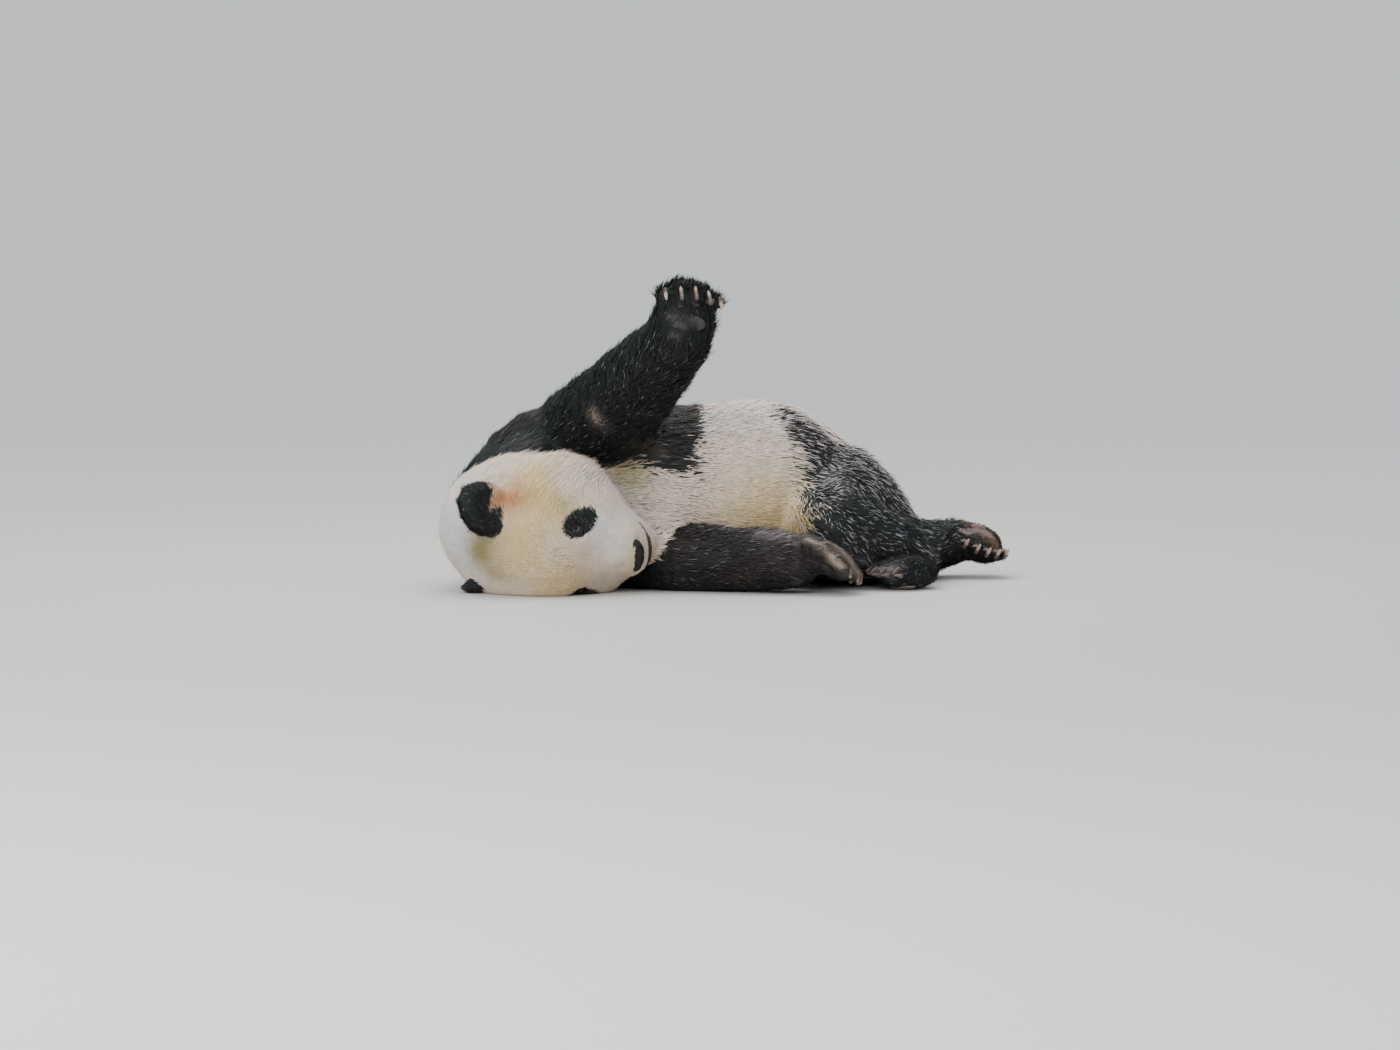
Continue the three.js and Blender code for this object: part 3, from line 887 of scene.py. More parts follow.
def make_lids(side, finish):
    place, aim, along, across = eye_directions(side)
    half_long, half_short = LID_OPENING

    def outline(scale):
        margin = (scale - 1) * half_long
        for turn in around(LID_STATIONS):
            a, b = math.cos(turn), math.sin(turn)
            pointed = 1 - a * a * LID_CORNERS[0 if a > 0 else 1]
            yield a * (half_long + margin), b * pointed * half_short + margin * b

    def ball_height(a, b):
        """The ball's height, going straight down beyond its rim."""
        apart = math.hypot(a, b) / EYE_RADIUS
        return EYE_RADIUS * (1 - 0.5 * apart ** 2) if apart < 1 else EYE_RADIUS * (1.5 - apart)

    rings = []
    for scale, drawn, on_skin, rise in LID_RINGS:
        ring = []
        for a, b in outline(scale):
            skin_height = skin_over(place + along * a + across * b, aim, 4 * EYE_RADIUS)
            height = ball_height(a, b) * (1 - on_skin) + skin_height * on_skin + rise
            ring.append(place + (along * a + across * b) * drawn + aim * height)
        rings.append(ring)
    made = settle(f"lids_{side}", loft(rings, closed=True), finish)
    soften(made)
    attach(made, "root")


eye_finish = finish_of("wet_eye", eye_colour, 0.06, Specular_IOR_Level=0.35)
lid_finish = finish_of(
    "lid_skin",
    lambda w: w.mottled(LID_BLACK, 400.0, 2.2),
    0.32,
    lambda w: (w.noise(700.0, 3.0), 0.0006, 0.6),
    Specular_IOR_Level=0.25,
)
for side in ("left", "right"):
    make_eyeball(side, eye_finish)
    make_lids(side, lid_finish)


# ---- Nose and mouth ----
# The nose pad is broad black pebbled leather with comma-shaped nostrils and a groove down its middle, bare
# only in front. The mouth is closed: its dark lips, lofted along a line on the skin, run back to the cheeks.

# Places, sizes and depths on the pad are shares of its half sizes; a place is across and up.
NOSTRIL = (0.44, -0.22)
NOSTRIL_HALF = (0.17, 0.22)
NOSTRIL_DEPTH = 0.42
NOSTRIL_RIM = (0.05, 1.35, 0.45)
TAIL = (0.70, -0.32)
TAIL_HALF = (0.22, 0.09)
TAIL_DEPTH = 0.22
GROOVE_HALF = 0.07
GROOVE_DEPTH = 0.16
NOSE_BLACK = (0.010, 0.009, 0.009)
MOUTH_HALF = 0.054
MOUTH_STATIONS = 36
MOUTH_BELOW = 0.033
MOUTH_AHEAD = 0.008
MOUTH_CURVE = (9.5, 1.5)
MOUTH_INSIDE = (0.10, 0.25, -0.075)
LIP_SECTION = [
    (-0.0062, -0.0022), (-0.0056, 0.0006), (-0.0036, 0.0022), (-0.0014, 0.0014), (-0.0004, -0.0012),
    (0.0004, -0.0012), (0.0014, 0.0014), (0.0036, 0.0020), (0.0056, 0.0006), (0.0062, -0.0022),
]
LIP_WIDE = 1.1
LIP_TALL = 0.6
LIP_OUT = 0.0006
LIP_DARK = (0.024, 0.012, 0.012)


def nose_dent(l, u):
    """How deep the front of the pad is hollowed at a place across and up."""
    slot = math.hypot((abs(l) - NOSTRIL[0]) / NOSTRIL_HALF[0], (u - NOSTRIL[1]) / NOSTRIL_HALF[1])
    tail = math.hypot((abs(l) - TAIL[0]) / TAIL_HALF[0], (u - TAIL[1]) / TAIL_HALF[1])
    rim, rim_at, rim_half = NOSTRIL_RIM
    hollow = NOSTRIL_DEPTH * math.exp(-slot ** 2.6) + TAIL_DEPTH * math.exp(-tail ** 2.4)
    groove = GROOVE_DEPTH * math.exp(-(l / GROOVE_HALF) ** 2) * max(0.0, min(1.0, 0.5 - 1.4 * u))
    return hollow + groove - rim * math.exp(-((slot - rim_at) / rim_half) ** 2)


def make_nose():
    pad = bmesh.new()
    bmesh.ops.create_icosphere(pad, subdivisions=6, radius=1.0)
    for vertex in pad.verts:
        f, l, u = vertex.co
        wide = 0.98 + 0.06 * u - 0.10 * max(0, -u)
        shaped = Vector((f - nose_dent(l, u) * max(0.0, f), l * wide, u))
        vertex.co = shaped * Vector(NOSE_HALF)
    bmesh.ops.transform(pad, matrix=Matrix.Translation(nose_place) @ head_turn.to_4x4(), verts=pad.verts)
    made = settle("nose_pad", pad, finish_of(
        "nose_leather",
        lambda w: w.mottled(NOSE_BLACK, 500.0, 2.4, 0.35, 0.75),
        lambda w: 0.34 + 0.25 * w.noise(180.0),
        lambda w: (w.pebbles(620.0), 0.0007, 0.7),
        Specular_IOR_Level=0.22,
    ))
    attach(made, "root")
    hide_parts("nose")


def mouth_point(share):
    """A point of the mouth line on the skin, and the way out of the skin there."""
    l = MOUTH_HALF * share
    back, down = MOUTH_CURVE
    f, _, u = nose_in_head
    guess = from_head((f + MOUTH_AHEAD - back * l * l, l, u - MOUTH_BELOW - down * l * l))
    inside = from_head(Vector(MOUTH_INSIDE) * Vector((1, l, 1)))
    hit, normal, _, _ = skin_tree.ray_cast(guess + (guess - inside), inside - guess)
    return (hit, normal) if hit else (guess, (guess - inside).normalized())


def make_lips():
    places = [mouth_point(2 * k / (MOUTH_STATIONS - 1) - 1) for k in range(MOUTH_STATIONS)]
    rings = []
    for k, (place, normal) in enumerate(places):
        ahead = places[min(k + 1, MOUTH_STATIONS - 1)][0] - places[max(k - 1, 0)][0]
        ahead.normalize()
        outward = across_only(normal, ahead)
        across = ahead.cross(outward)
        # The lips thin out towards the corners of the mouth, but not to nothing.
        taper = math.sin(math.pi * (k + 0.35) / (MOUTH_STATIONS - 0.3)) ** 0.5
        rings.append([
            place + across * a * LIP_WIDE * taper + outward * (b * LIP_TALL * taper + LIP_OUT)
            for a, b in LIP_SECTION
        ])
    made = settle("lips", loft(rings), finish_of(
        "lip_skin",
        lambda w: w.mottled(LIP_DARK, 220.0, 1.8, high=0.7),
        0.45,
        lambda w: (w.noise(600.0, 3.0), 0.0005, 0.5),
    ))
    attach(made, "root")


make_nose()
make_lips()


# ---- Claws ----
# Each toe ends in a blunt curved claw of horn, cream at the tip and darker at the root.
# The five claws of a paw are one piece: each is a tapered horn whose root sits inside the toe.

CLAW_SIDES = 12
CLAW_STATIONS = 9
CLAW_ROOT = 0.011
CLAW_LOWEST = 0.3
CLAW_LOWER = 0.4
CLAW_HALF = (0.0044, 0.0054)
CLAW_TAPER = 0.66
CLAW_BLUNT = 0.6
CLAW_WORN = {"forepaw_left": 0.2, "forepaw_right": 0.75, "hindpaw_left": 0.9, "hindpaw_right": 0.3}
CLAW_PALE = {"forepaw_left": 1.0, "forepaw_right": 0.55, "hindpaw_left": 0.4, "hindpaw_right": 1.0}
HORN_PALE = (0.52, 0.40, 0.33)
HORN_DARK = (0.10, 0.065, 0.05)
PAWS = ["forepaw_left", "forepaw_right", "hindpaw_left", "hindpaw_right"]


def claw_nodes(paw):
    return [f"claw_{paw}_{k}" for k in range(1, 6)]


def claw_line(node, paw):
    """The root, middle and tip of a claw, the way it points and its half width, from its CAD solid."""
    corners = read(frame["nodes"][node].data.vertices, "co")
    centre = corners.mean(axis=0)
    _, _, axes = np.linalg.svd(corners - centre)
    axis = axes[0]
    if (centre - np.array(middle(paw))) @ axis < 0:
        axis = -axis
    height = (corners - centre) @ axis
    low, high = height.min(), height.max()
    tip = corners[np.argmax(height)]
    root = corners[height < low + CLAW_LOWEST * (high - low)].mean(axis=0)
    offset = corners[height < low + CLAW_LOWER * (high - low)] - root
    half = np.linalg.norm(offset - np.outer(offset @ axis, axis), axis=1).max()
    return Vector(root), Vector(centre), Vector(tip), Vector(axis), half


def horn(node, paw):
    """One claw: a tapered tube along a curve from inside the toe to the worn tip."""
    root, centre, tip, axis, half = claw_line(node, paw)
    start = root - axis * CLAW_ROOT
    end = tip - (tip - centre) * CLAW_WORN[paw]
    bend = centre * 2 - (start + end) / 2
    bend = (bend + centre) / 2
    half = min(max(half, CLAW_HALF[0]), CLAW_HALF[1])
    rings = []
    side = axis.orthogonal().normalized()
    for k in range(CLAW_STATIONS + 1):
        t = k / CLAW_STATIONS
        place = start * (1 - t) ** 2 + bend * 2 * t * (1 - t) + end * t * t
        ahead = ((bend - start) * (1 - t) + (end - bend) * t).normalized()
        side = across_only(side, ahead)
        over = ahead.cross(side)
        size = half * (1 - CLAW_TAPER * t ** 2) * (1 if k < CLAW_STATIONS else CLAW_BLUNT)
        rings.append([place + (side * math.cos(a) + over * math.sin(a)) * size for a in around(CLAW_SIDES)])
    return loft(rings)


def make_claws(paw, finish):
    horns = [horn(node, paw) for node in claw_nodes(paw)]
    points = [k for one in horns for k in range(len(one.verts))]
    along = [CLAW_PALE[paw] * (k // CLAW_SIDES) / CLAW_STATIONS for k in points]
    made = settle(f"claws_{paw}", gathered(horns), finish)
    number_points(made.data, "along", along)
    soften(made)
    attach(made, "root")
    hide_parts(*claw_nodes(paw))


def horn_colour(wire):
    pale = wire.mottled(HORN_PALE, 300.0, 0.72, high=0.75, detail=3.0)
    return wire.attribute("along").ramp(0.25, 0.62).mix(HORN_DARK, pale)


horn_finish = finish_of("claw_horn", horn_colour, 0.38, lambda w: (w.noise(500.0), 0.0004, 0.5))
for paw in PAWS:
    make_claws(paw, horn_finish)


# ---- Pads ----
# Bare leathery pads on the soles: a small oval one under each toe, a broad one across the sole and one at the
# heel. They are dark on the front paws and mauve-grey on the hind ones, and each is a low dome on the skin.

SOLE = {
    "forepaw_left": (0, -1, 0), "forepaw_right": (-0.35, -0.15, -0.92),
    "hindpaw_left": (0, 0, -1), "hindpaw_right": (0.3, -0.35, 0.87),
}
TOE_BEND = {"forepaw_left": 2.3, "forepaw_right": 0.62, "hindpaw_left": 0.05, "hindpaw_right": 0.6}
TOE_PAD = (0.0115, 0.0092, 0.0042)
TOE_PAD_BACK = 0.007
TOE_PAD_OUT = 0.006
TOE_REACH = 0.03
SOLE_PAD = (0.019, 0.043, 0.0050)
SOLE_PAD_AHEAD = 0.006
RAISED_PAD_BACK = 0.004
HEEL_PAD = (0.013, 0.017, 0.004)
HEEL_PAD_BACK = 0.038
HEEL_PAD_ACROSS = 0.012
SOLE_REACH = 0.08
PAD_STATIONS = 20
PAD_LOW = 0.0005
PAD_BEND = 0.005
PAD_RINGS = [(1.0, -0.6), (1.0, 0.25), (0.88, 0.72), (0.6, 0.95), (0.25, 1.0)]
PAD_MAUVE = (0.21, 0.155, 0.145)
PAD_DARK = (0.040, 0.033, 0.032)


def pad_dome(place, out, along, size, reach):
    """A low dome on the skin over a place, found from up to reach metres outside it."""
    along = across_only(along, out)
    across = out.cross(along)
    long, wide, tall = size

    def outline(scale):
        turns = around(PAD_STATIONS)
        return [place + (along * math.cos(t) * long + across * math.sin(t) * wide) * scale for t in turns]

    level = sorted(skin_over(over, out, reach) for over in outline(0.6))[PAD_STATIONS // 2]
    rings = []
    for scale, height in PAD_RINGS:
        ring = []
        for over in outline(scale):
            under = min(max(skin_over(over, out, reach), level - PAD_BEND), level + PAD_BEND)
            corner = over + out * (under + height * tall)
            corner.z = max(corner.z, PAD_LOW)
            ring.append(corner)
        rings.append(ring)
    return loft(rings)


def make_pads(paw, finish):
    out = Vector(SOLE[paw]).normalized()
    bend = TOE_BEND[paw]
    claws = [middle(node) for node in claw_nodes(paw)]
    heel = middle(paw)
    across = (claws[-1] - claws[0]).normalized()
    along = out.cross(across).normalized()
    forward = sum(claws, Vector()) / len(claws) - heel
    ahead = SOLE_PAD_AHEAD
    if paw == "forepaw_left":
        forward = heel - middle("forearm_left")
        ahead = -RAISED_PAD_BACK
    if along.dot(forward) < 0:
        along = -along
    toe_out = (out * math.cos(bend) - along * math.sin(bend)).normalized()
    toe_along = (along * math.cos(bend) + out * math.sin(bend)).normalized()
    domes = []
    for node in claw_nodes(paw):
        place = claw_line(node, paw)[0] - toe_along * TOE_PAD_BACK + toe_out * TOE_PAD_OUT
        domes.append(pad_dome(place, toe_out, toe_along, TOE_PAD, TOE_REACH))
    domes.append(pad_dome(heel + along * ahead, out, along, SOLE_PAD, SOLE_REACH))
    back = heel - along * HEEL_PAD_BACK + across * HEEL_PAD_ACROSS
    domes.append(pad_dome(back, out, along, HEEL_PAD, SOLE_REACH))
    made = settle(f"pads_{paw}", gathered(domes), finish)
    soften(made)
    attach(made, "root")
    return made


def pad_finish(name, colour):
    return finish_of(
        name,
        lambda w: w.mottled(colour, 160.0, 0.6, high=0.75, detail=3.0),
        0.6,
        lambda w: (w.pebbles(420.0), 0.0008, 0.6),
    )


pad_finishes = {"fore": pad_finish("pad_dark", PAD_DARK), "hind": pad_finish("pad_mauve", PAD_MAUVE)}
pads = [make_pads(paw, pad_finishes[paw[:4]]) for paw in PAWS]


# ---- Coat ----
# Dense, slightly coarse hair, short on the face and feet and long on the body, with black and white mixed
# where they meet. It is made of closed tufts set in the skin: each is a flat lock that bends along the lie of
# the hair, with its normals turned outwards and streaks of strands in its colour.

# Hair is shorter and finer towards the nose and round the eyes, shorter near the floor and on the tan and
# painted highlight places, and longer on the ruff of the cheeks and on the raised paw.
FACE_REACH = (0.02, 0.16)
FACE_LENGTH = 0.36
FACE_WIDTH = 0.62
RUFF_SIDE = (0.10, 0.145)
RUFF_LONGER = 0.85
EYE_REACH = (0.018, 0.065)
EYE_SHORTER = 0.5
EYE_FINER = 0.35
FLOOR_LENGTH = 0.55
FLOOR_REACH = 0.05
TAN_AND_HIGHLIGHT_SHORTER = 0.5
RAISED_LONGER = 0.6
LIFT_FULL = 0.33
LIFT_LIMITS = (0.25, 1.25)
# The lie of the hair over each kind of node, where it isn't along the leg or towards the claws.
LIE = {
    "neck": (0.75, 0.0, 0.35), "chest": (1.0, -0.05, -0.12), "belly": (1.0, 0.0, -0.10),
    "rump": (0.92, 0.0, -0.35), "tail": (0.46, 0.52, -0.62),
    "thigh_left": (0.88, -0.05, -0.36), "shank_left": (0.75, 0.1, -0.6),
}
NEXT_ALONG = {"upperarm": "forearm", "forearm": "forepaw", "thigh": "shank", "shank": "hindpaw"}
KNEE = (0.165, 0.20)
KNEE_LIE = (0.25, 0.0, -0.97)
CHEEK_LIE = (0.25, 0.55, -0.8)
CHEEK_FROM = (0.055, 0.115)
CHEEK_BEHIND = 0.13
CHEEK_FADE = 0.05
chance = np.random.default_rng(7)


def flat_on_skin(vectors, normals):
    """Directions laid flat on the skin."""
    return unit(vectors - normals * (vectors * normals).sum(axis=1, keepdims=True))


def head_lie(points):
    """Hair of the head lies away from the nose, and down and back on the cheeks."""
    local = in_head(points)
    f, l, _ = local.T
    away = unit(local - nose_in_head)
    cheek = ramp(np.abs(l), *CHEEK_FROM) * ramp(CHEEK_BEHIND - f, 0.0, CHEEK_FADE)
    ones = np.ones_like(l)
    sideways = np.stack([ones, np.sign(l), ones], axis=1) * np.array(CHEEK_LIE)
    return unit(away * (1 - cheek)[:, None] + sideways * cheek[:, None]) @ head_axes


def lie_field(points):
    """The way the hair lies at each point of the skin."""
    flow = np.zeros_like(points)
    for node in flesh_nodes:
        here = skin_name == node
        kind, _, side = node.partition("_")
        place = middle(node)
        if kind == "ear":
            root = place + (head_centre - place) * 0.25
            flow[here] = unit(points[here] - np.array(root))
            continue
        if node in LIE or kind in LIE:
            way = LIE.get(node) or LIE[kind]
        elif kind in NEXT_ALONG:
            way = middle(f"{NEXT_ALONG[kind]}_{side}") - place
        elif kind in ("forepaw", "hindpaw"):
            way = sum((middle(claw) for claw in claw_nodes(node)), Vector()) / 5 - place
        else:
            continue
        flow[here] = unit(np.array(way)[None, :])
    knee = (skin_name == "thigh_left") & (points[:, 0] < KNEE[0]) & (points[:, 2] < KNEE[1])
    flow[knee] = KNEE_LIE
    on_head = skin_kind == "head"
    flow[on_head] = head_lie(points)[on_head]
    for _ in range(4):
        flow = flat_on_skin(spread(flow, skin_edges, 12), skin_normals)
    return flow


def hair_fields(points):
    """Length, width and lift of the hair over the skin."""
    length = kind_field(LENGTH, 12)
    width = kind_field(WIDTH, 12)
    local = in_head(points)
    face = ramp(np.linalg.norm(local - nose_in_head, axis=1), *FACE_REACH)
    on_head = spread(skin_kind == "head", skin_edges, 3)
    length *= 1 - on_head * (1 - (FACE_LENGTH + (1 - FACE_LENGTH) * face))
    width *= 1 - on_head * (1 - (FACE_WIDTH + (1 - FACE_WIDTH) * face))
    length *= 1 + RUFF_LONGER * (on_head * ramp(np.abs(local[:, 1]), *RUFF_SIDE))
    for side in ("left", "right"):
        apart = np.linalg.norm(points - np.array(middle(f"eye_{side}")), axis=1)
        close = 1 - ramp(apart, *EYE_REACH)
        length *= 1 - EYE_SHORTER * close
        width *= 1 - EYE_FINER * close
    length *= FLOOR_LENGTH + (1 - FLOOR_LENGTH) * ramp(points[:, 2], 0.0, FLOOR_REACH)
    length *= 1 - TAN_AND_HIGHLIGHT_SHORTER * np.minimum(1, skin_casts[:, TAN_AND_HIGHLIGHT])
    length *= 1 + RAISED_LONGER * spread(skin_name == "forepaw_left", skin_edges, 4)
    lift = np.clip(skin_depth(points) / length / LIFT_FULL, *LIFT_LIMITS)
    return length, width, lift


TUFT_BEND_AT = 0.42


def base_tuft():
    """A closed spindle of six triangles, one unit long: its points, across, out and up, and its faces."""
    made = bmesh.new()
    circle = bmesh.ops.create_circle(made, segments=3, radius=1.0)["verts"]
    bmesh.ops.translate(made, verts=circle, vec=(0, 0, TUFT_BEND_AT))
    ring = list(made.edges)
    for height in (0.0, 1.0):
        drawn = bmesh.ops.extrude_edge_only(made, edges=ring)["geom"]
        corners = [g for g in drawn if isinstance(g, bmesh.types.BMVert)]
        bmesh.ops.pointmerge(made, verts=corners, merge_co=(0, 0, height))
    bmesh.ops.recalc_face_normals(made, faces=made.faces)
    made.verts.index_update()
    corners = np.array([v.co for v in made.verts])
    faces = np.array([[v.index for v in f.verts] for f in made.faces])
    made.free()
    return corners, faces


skin_length, skin_width, skin_lift = hair_fields(skin_points)
skin_shag = kind_field(SHAG, 8)
skin_lie = lie_field(skin_points)
tuft_points, tuft_faces = base_tuft()

skin_mesh.calc_loop_triangles()
tri_points = read(skin_mesh.loop_triangles, "vertices", 3, int)
tri_loops = read(skin_mesh.loop_triangles, "loops", 3, int)
skin_uv = read(skin_mesh.uv_layers["OFBake"].uv, "vector", 2)
a, b, c = (skin_points[tri_points[:, k]] for k in range(3))
tri_middle = (a + b + c) / 3
tri_normal = np.cross(b - a, c - a)
tri_area = np.linalg.norm(tri_normal, axis=1) / 2
tri_normal = unit(tri_normal)
tri_node = skin_node[tri_points[:, 0]]
tri_kind = node_kind[tri_node]
tri_local = in_head(tri_middle)

BALD_LOW = 0.004
EYE_BALD = (0.0155, 0.0120)
MOUTH_BALD = 0.0035
PAD_BALD = 0.0042


def bald_faces():
    """Faces that carry no hair: under the body's weight, in the eyes, under nose, lips and pads."""
    bald = (tri_middle[:, 2] < BALD_LOW) & (tri_normal[:, 2] < -0.6)
    for side in ("left", "right"):
        place, *directions = (np.array(v) for v in eye_directions(side))
        height, a, b = (((tri_middle - place) @ way) for way in directions)
        bald |= (np.hypot(a / EYE_BALD[0], b / EYE_BALD[1]) < 1) & (height > -SOCKET_REACH)
    bald |= bare_nose(tri_middle) > 0.3
    mouth = np.array([mouth_point(k / 12)[0] for k in range(-11, 12)])
    bald |= np.linalg.norm(tri_middle[:, None] - mouth[None], axis=2).min(axis=1) < MOUTH_BALD
    for pad in pads:
        corners = read(pad.data.vertices, "co")
        low, high = corners.min(axis=0) - PAD_BALD, corners.max(axis=0) + PAD_BALD
        near = np.all((tri_middle > low) & (tri_middle < high), axis=1)
        for k in np.flatnonzero(near):
            bald[k] |= np.linalg.norm(corners - tri_middle[k], axis=1).min() < PAD_BALD
    return bald


tri_bald = bald_faces()
tri_size = skin_length[tri_points].mean(axis=1) * skin_width[tri_points].mean(axis=1)

# Hair strays from its lie, its length and its rise in locks and swirls and by chance.
LOCK_SIZE = 0.010
SWIRL_SIZE = 0.035
TURNING = (0.22, 0.18, 0.15)
LOCK_LONGER = 0.14
LOCK_HIGHER = 0.2
RISE_CHANCE = 0.15
TIP_CHANCE = 0.05
DRIFT_CHANCE = 0.12
LOCK_DRIFT = 0.1
GUARD_HAIRS = 0.10
GUARD_MORE = 0.25
UNEVEN = (0.75, 1.25)
LOWER_RISE = (0.62, 0.05, 1.2)
UPPER_RISE = (0.20, -0.1, 0.9)
ROOT_SUNK = 0.0012
LOCK_ROLL = 0.35
LOCK_FLAT = 0.55
LOCK_SOFT = 1.5
TUFT_LOW = (0.0007, 0.002)
# How far black and white hairs mix across an edge, and how far the edge itself wanders.
HIP_MIX = 0.0155
HIP_MIX_FROM = 0.05
HEAD_MIX = 0.0013
CHEST_MIX = 0.009
EDGE_MIX = 0.0035
LOCK_WANDER = 0.004
SWIRL_WANDER = 0.009
TUFT_PATCH = 0.0015


def ripple(points, size, seed):
    """Smooth noise from about -1 to 1: a few waves added up."""
    waves = np.random.default_rng(seed).normal(size=(7, 3)) / size
    phases = np.random.default_rng(seed + 1).uniform(0, 2 * math.pi, 7)
    return sum(np.sin(points @ w + p) for w, p in zip(waves, phases)) / 2.6


def turned(ahead, beside, angle):
    """Directions turned from ahead towards beside."""
    return ahead * np.cos(angle)[:, None] + beside * np.sin(angle)[:, None]


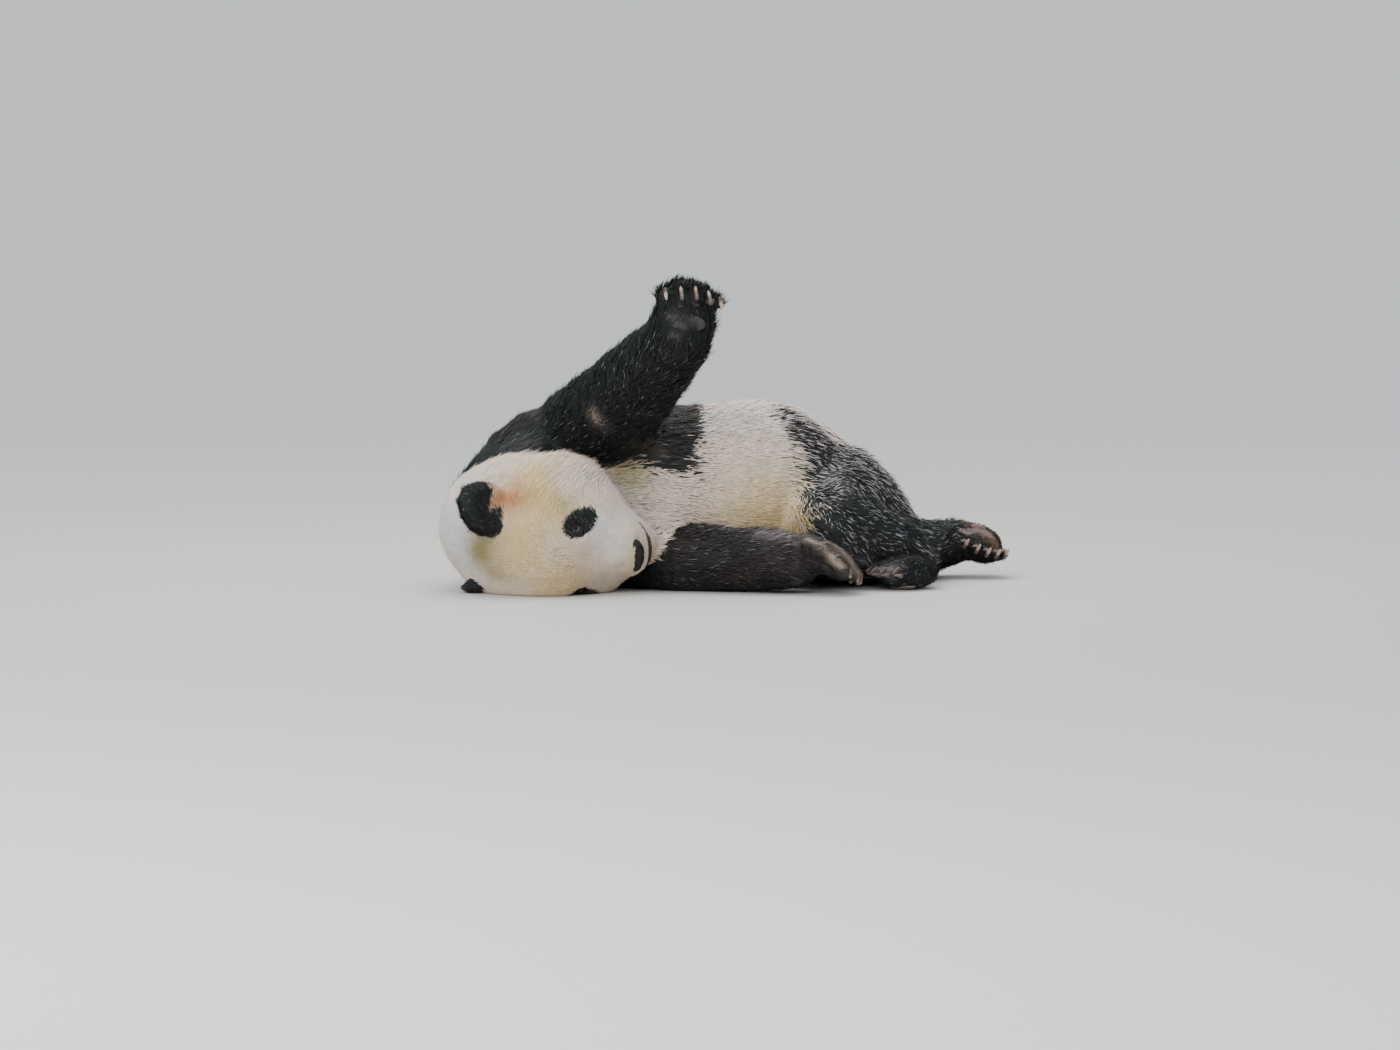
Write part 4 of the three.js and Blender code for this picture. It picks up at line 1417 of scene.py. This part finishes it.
def grow(name, here, count, finish):
    """A piece of coat: tufts of hair spread evenly over the faces where here is true."""
    faces = np.flatnonzero(here & ~tri_bald)
    weight = tri_area[faces] / tri_size[faces]
    steps = np.cumsum(weight) / weight.sum() * count
    picks = np.searchsorted(steps, np.arange(count) + chance.uniform(0, 1, count))
    face = faces[np.clip(picks, 0, len(faces) - 1)]
    r1, r2 = chance.uniform(0, 1, (2, count))
    r1 = np.sqrt(r1)
    share = np.stack([1 - r1, r1 * (1 - r2), r1 * r2], axis=1)

    def at_root(values):
        corner = values[tri_points[face]]
        return (corner * share.reshape(share.shape + (1,) * (corner.ndim - 2))).sum(axis=1)

    root = at_root(skin_points)
    out = unit(at_root(skin_normals))
    lie = at_root(skin_lie)
    lock = ripple(root, LOCK_SIZE, 11)
    swirl = ripple(root, SWIRL_SIZE, 23)
    shag = at_root(skin_shag)
    by_swirl, by_lock, by_chance = TURNING
    turn = (by_swirl * swirl + by_lock * lock + chance.normal(0, by_chance, count)) * shag
    lie = flat_on_skin(unit(turned(lie, np.cross(out, lie), turn)), out)
    side = np.cross(out, lie)
    guard = chance.uniform(0, 1, count) < GUARD_HAIRS
    more = 1 + GUARD_MORE * guard
    length = at_root(skin_length) * (1 + LOCK_LONGER * lock * shag) * chance.uniform(*UNEVEN, count) * more
    width = at_root(skin_width) * chance.uniform(*UNEVEN, count) * (1 - GUARD_MORE * guard)
    rise = at_root(skin_lift) * (1 + LOCK_HIGHER * lock * shag) * chance.normal(1, RISE_CHANCE, count) * more
    first = np.clip(LOWER_RISE[0] * rise, *LOWER_RISE[1:])
    second = np.clip(UPPER_RISE[0] * rise + chance.normal(0, TIP_CHANCE, count), *UPPER_RISE[1:])
    start = root - out * ROOT_SUNK
    bend = start + (length * TUFT_BEND_AT)[:, None] * turned(lie, out, first)
    drift = side * ((chance.normal(0, DRIFT_CHANCE, count) + LOCK_DRIFT * lock) * shag)[:, None]
    tip = bend + (length * (1 - TUFT_BEND_AT))[:, None] * unit(turned(lie, out, second) + drift)

    flank, ridge, height = tuft_points.T
    upper = np.clip((height - TUFT_BEND_AT) / (1 - TUFT_BEND_AT), 0, 1)[None, :, None]
    lower = np.clip(height / TUFT_BEND_AT, 0, 1)[None, :, None]
    line = start[:, None] * (1 - lower) + bend[:, None] * (lower - upper) + tip[:, None] * upper
    roll = chance.normal(0, LOCK_ROLL, count)[:, None]
    x = flank[None] * np.cos(roll) - ridge[None] * np.sin(roll)
    y = flank[None] * np.sin(roll) + ridge[None] * np.cos(roll)
    half = (width / 2)[:, None]
    line = line + side[:, None] * (x * half)[:, :, None] + out[:, None] * (y * half * LOCK_FLAT)[:, :, None]
    facing = side[:, None] * x[:, :, None] + out[:, None] * (y[:, :, None] + LOCK_SOFT)
    line[:, :, 2] = np.maximum(line[:, :, 2], TUFT_LOW[0] + TUFT_LOW[1] * np.abs(y))

    kind = tri_kind[face]
    hips = np.isin(kind, ["thigh", "rump", "belly"]) & (root[:, 0] > HIP_MIX_FROM)
    mixed = np.select([kind == "head", kind == "chest", hips], [HEAD_MIX, CHEST_MIX, HIP_MIX], EDGE_MIX)
    wander = LOCK_WANDER * lock * (kind != "head") + SWIRL_WANDER * swirl * np.isin(kind, ["chest", "belly"])
    black = (at_root(skin_black) + chance.normal(0, 1, count) * mixed + wander > 0).astype(float)
    tone = chance.uniform(0, 1, count)
    uv_root = (skin_uv[tri_loops[face]] * share[:, :, None]).sum(axis=1)
    uv = uv_root[:, None] + TUFT_PATCH * np.stack([flank, 2 * height - 1], axis=1)[None]

    size = len(tuft_points)
    corners = (tuft_faces[None] + size * np.arange(count)[:, None, None]).reshape(-1)
    mesh = bpy.data.meshes.new(name)
    mesh.vertices.add(count * size)
    mesh.vertices.foreach_set("co", line.reshape(-1))
    mesh.loops.add(len(corners))
    mesh.loops.foreach_set("vertex_index", corners)
    mesh.polygons.add(len(corners) // 3)
    mesh.polygons.foreach_set("loop_start", np.arange(0, len(corners), 3))
    mesh.update(calc_edges=True)
    mesh.shade_smooth()
    mesh.uv_layers.new(name="OFBake").uv.foreach_set("vector", uv.reshape(-1, 2)[corners].ravel())
    number_points(mesh, "across", np.tile(flank, count))
    mesh.normals_split_custom_set_from_vertices(unit(facing).reshape(-1, 3))
    roots = (black, at_root(skin_tints), at_root(skin_casts), at_root(skin_brown))
    fields = [np.repeat(values, size, axis=0) for values in roots]
    paint_coat(mesh, *fields, np.tile(height, count), np.repeat(tone, size))
    mesh.materials.append(finish)
    made = put(name, mesh)
    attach(made, "root")


CROWN = 0.055
coat_finish = finish_of("hair", coat_colours, 0.5, Specular_IOR_Level=0.3)
on_head = tri_kind == "head"
on_face = on_head & (tri_local[:, 0] > CROWN)
on_cheek = on_head & ~on_face
head_left_half = tri_local[:, 1] >= 0
is_left = np.array([n.endswith("_left") for n in flesh_nodes])[tri_node]
on_foreleg = np.isin(tri_kind, ["upperarm", "forearm", "forepaw"])
on_hindleg = np.isin(tri_kind, ["thigh", "shank", "hindpaw"])
COAT = [
    ("coat_face", on_face, 32000, "white_coat"),
    ("coat_cheek_left", on_cheek & head_left_half, 32000, "white_coat"),
    ("coat_cheek_right", on_cheek & ~head_left_half, 14000, "white_coat"),
    ("coat_ears", tri_kind == "ear", 10000, "black_coat"),
    ("coat_shoulders", np.isin(tri_kind, ["neck", "chest"]), 30000, "black_coat"),
    ("coat_belly", tri_kind == "belly", 31000, "white_coat"),
    ("coat_rump", np.isin(tri_kind, ["rump", "tail"]), 16000, "white_coat"),
    ("coat_foreleg_left", on_foreleg & is_left, 26000, "black_coat"),
    ("coat_foreleg_right", on_foreleg & ~is_left, 18000, "black_coat"),
    ("coat_hindleg_left", on_hindleg & is_left, 29000, "black_coat"),
    ("coat_hindleg_right", on_hindleg & ~is_left, 16000, "black_coat"),
]
for name, here, count, slot in COAT:
    grow(name, here, count, coat_finish)
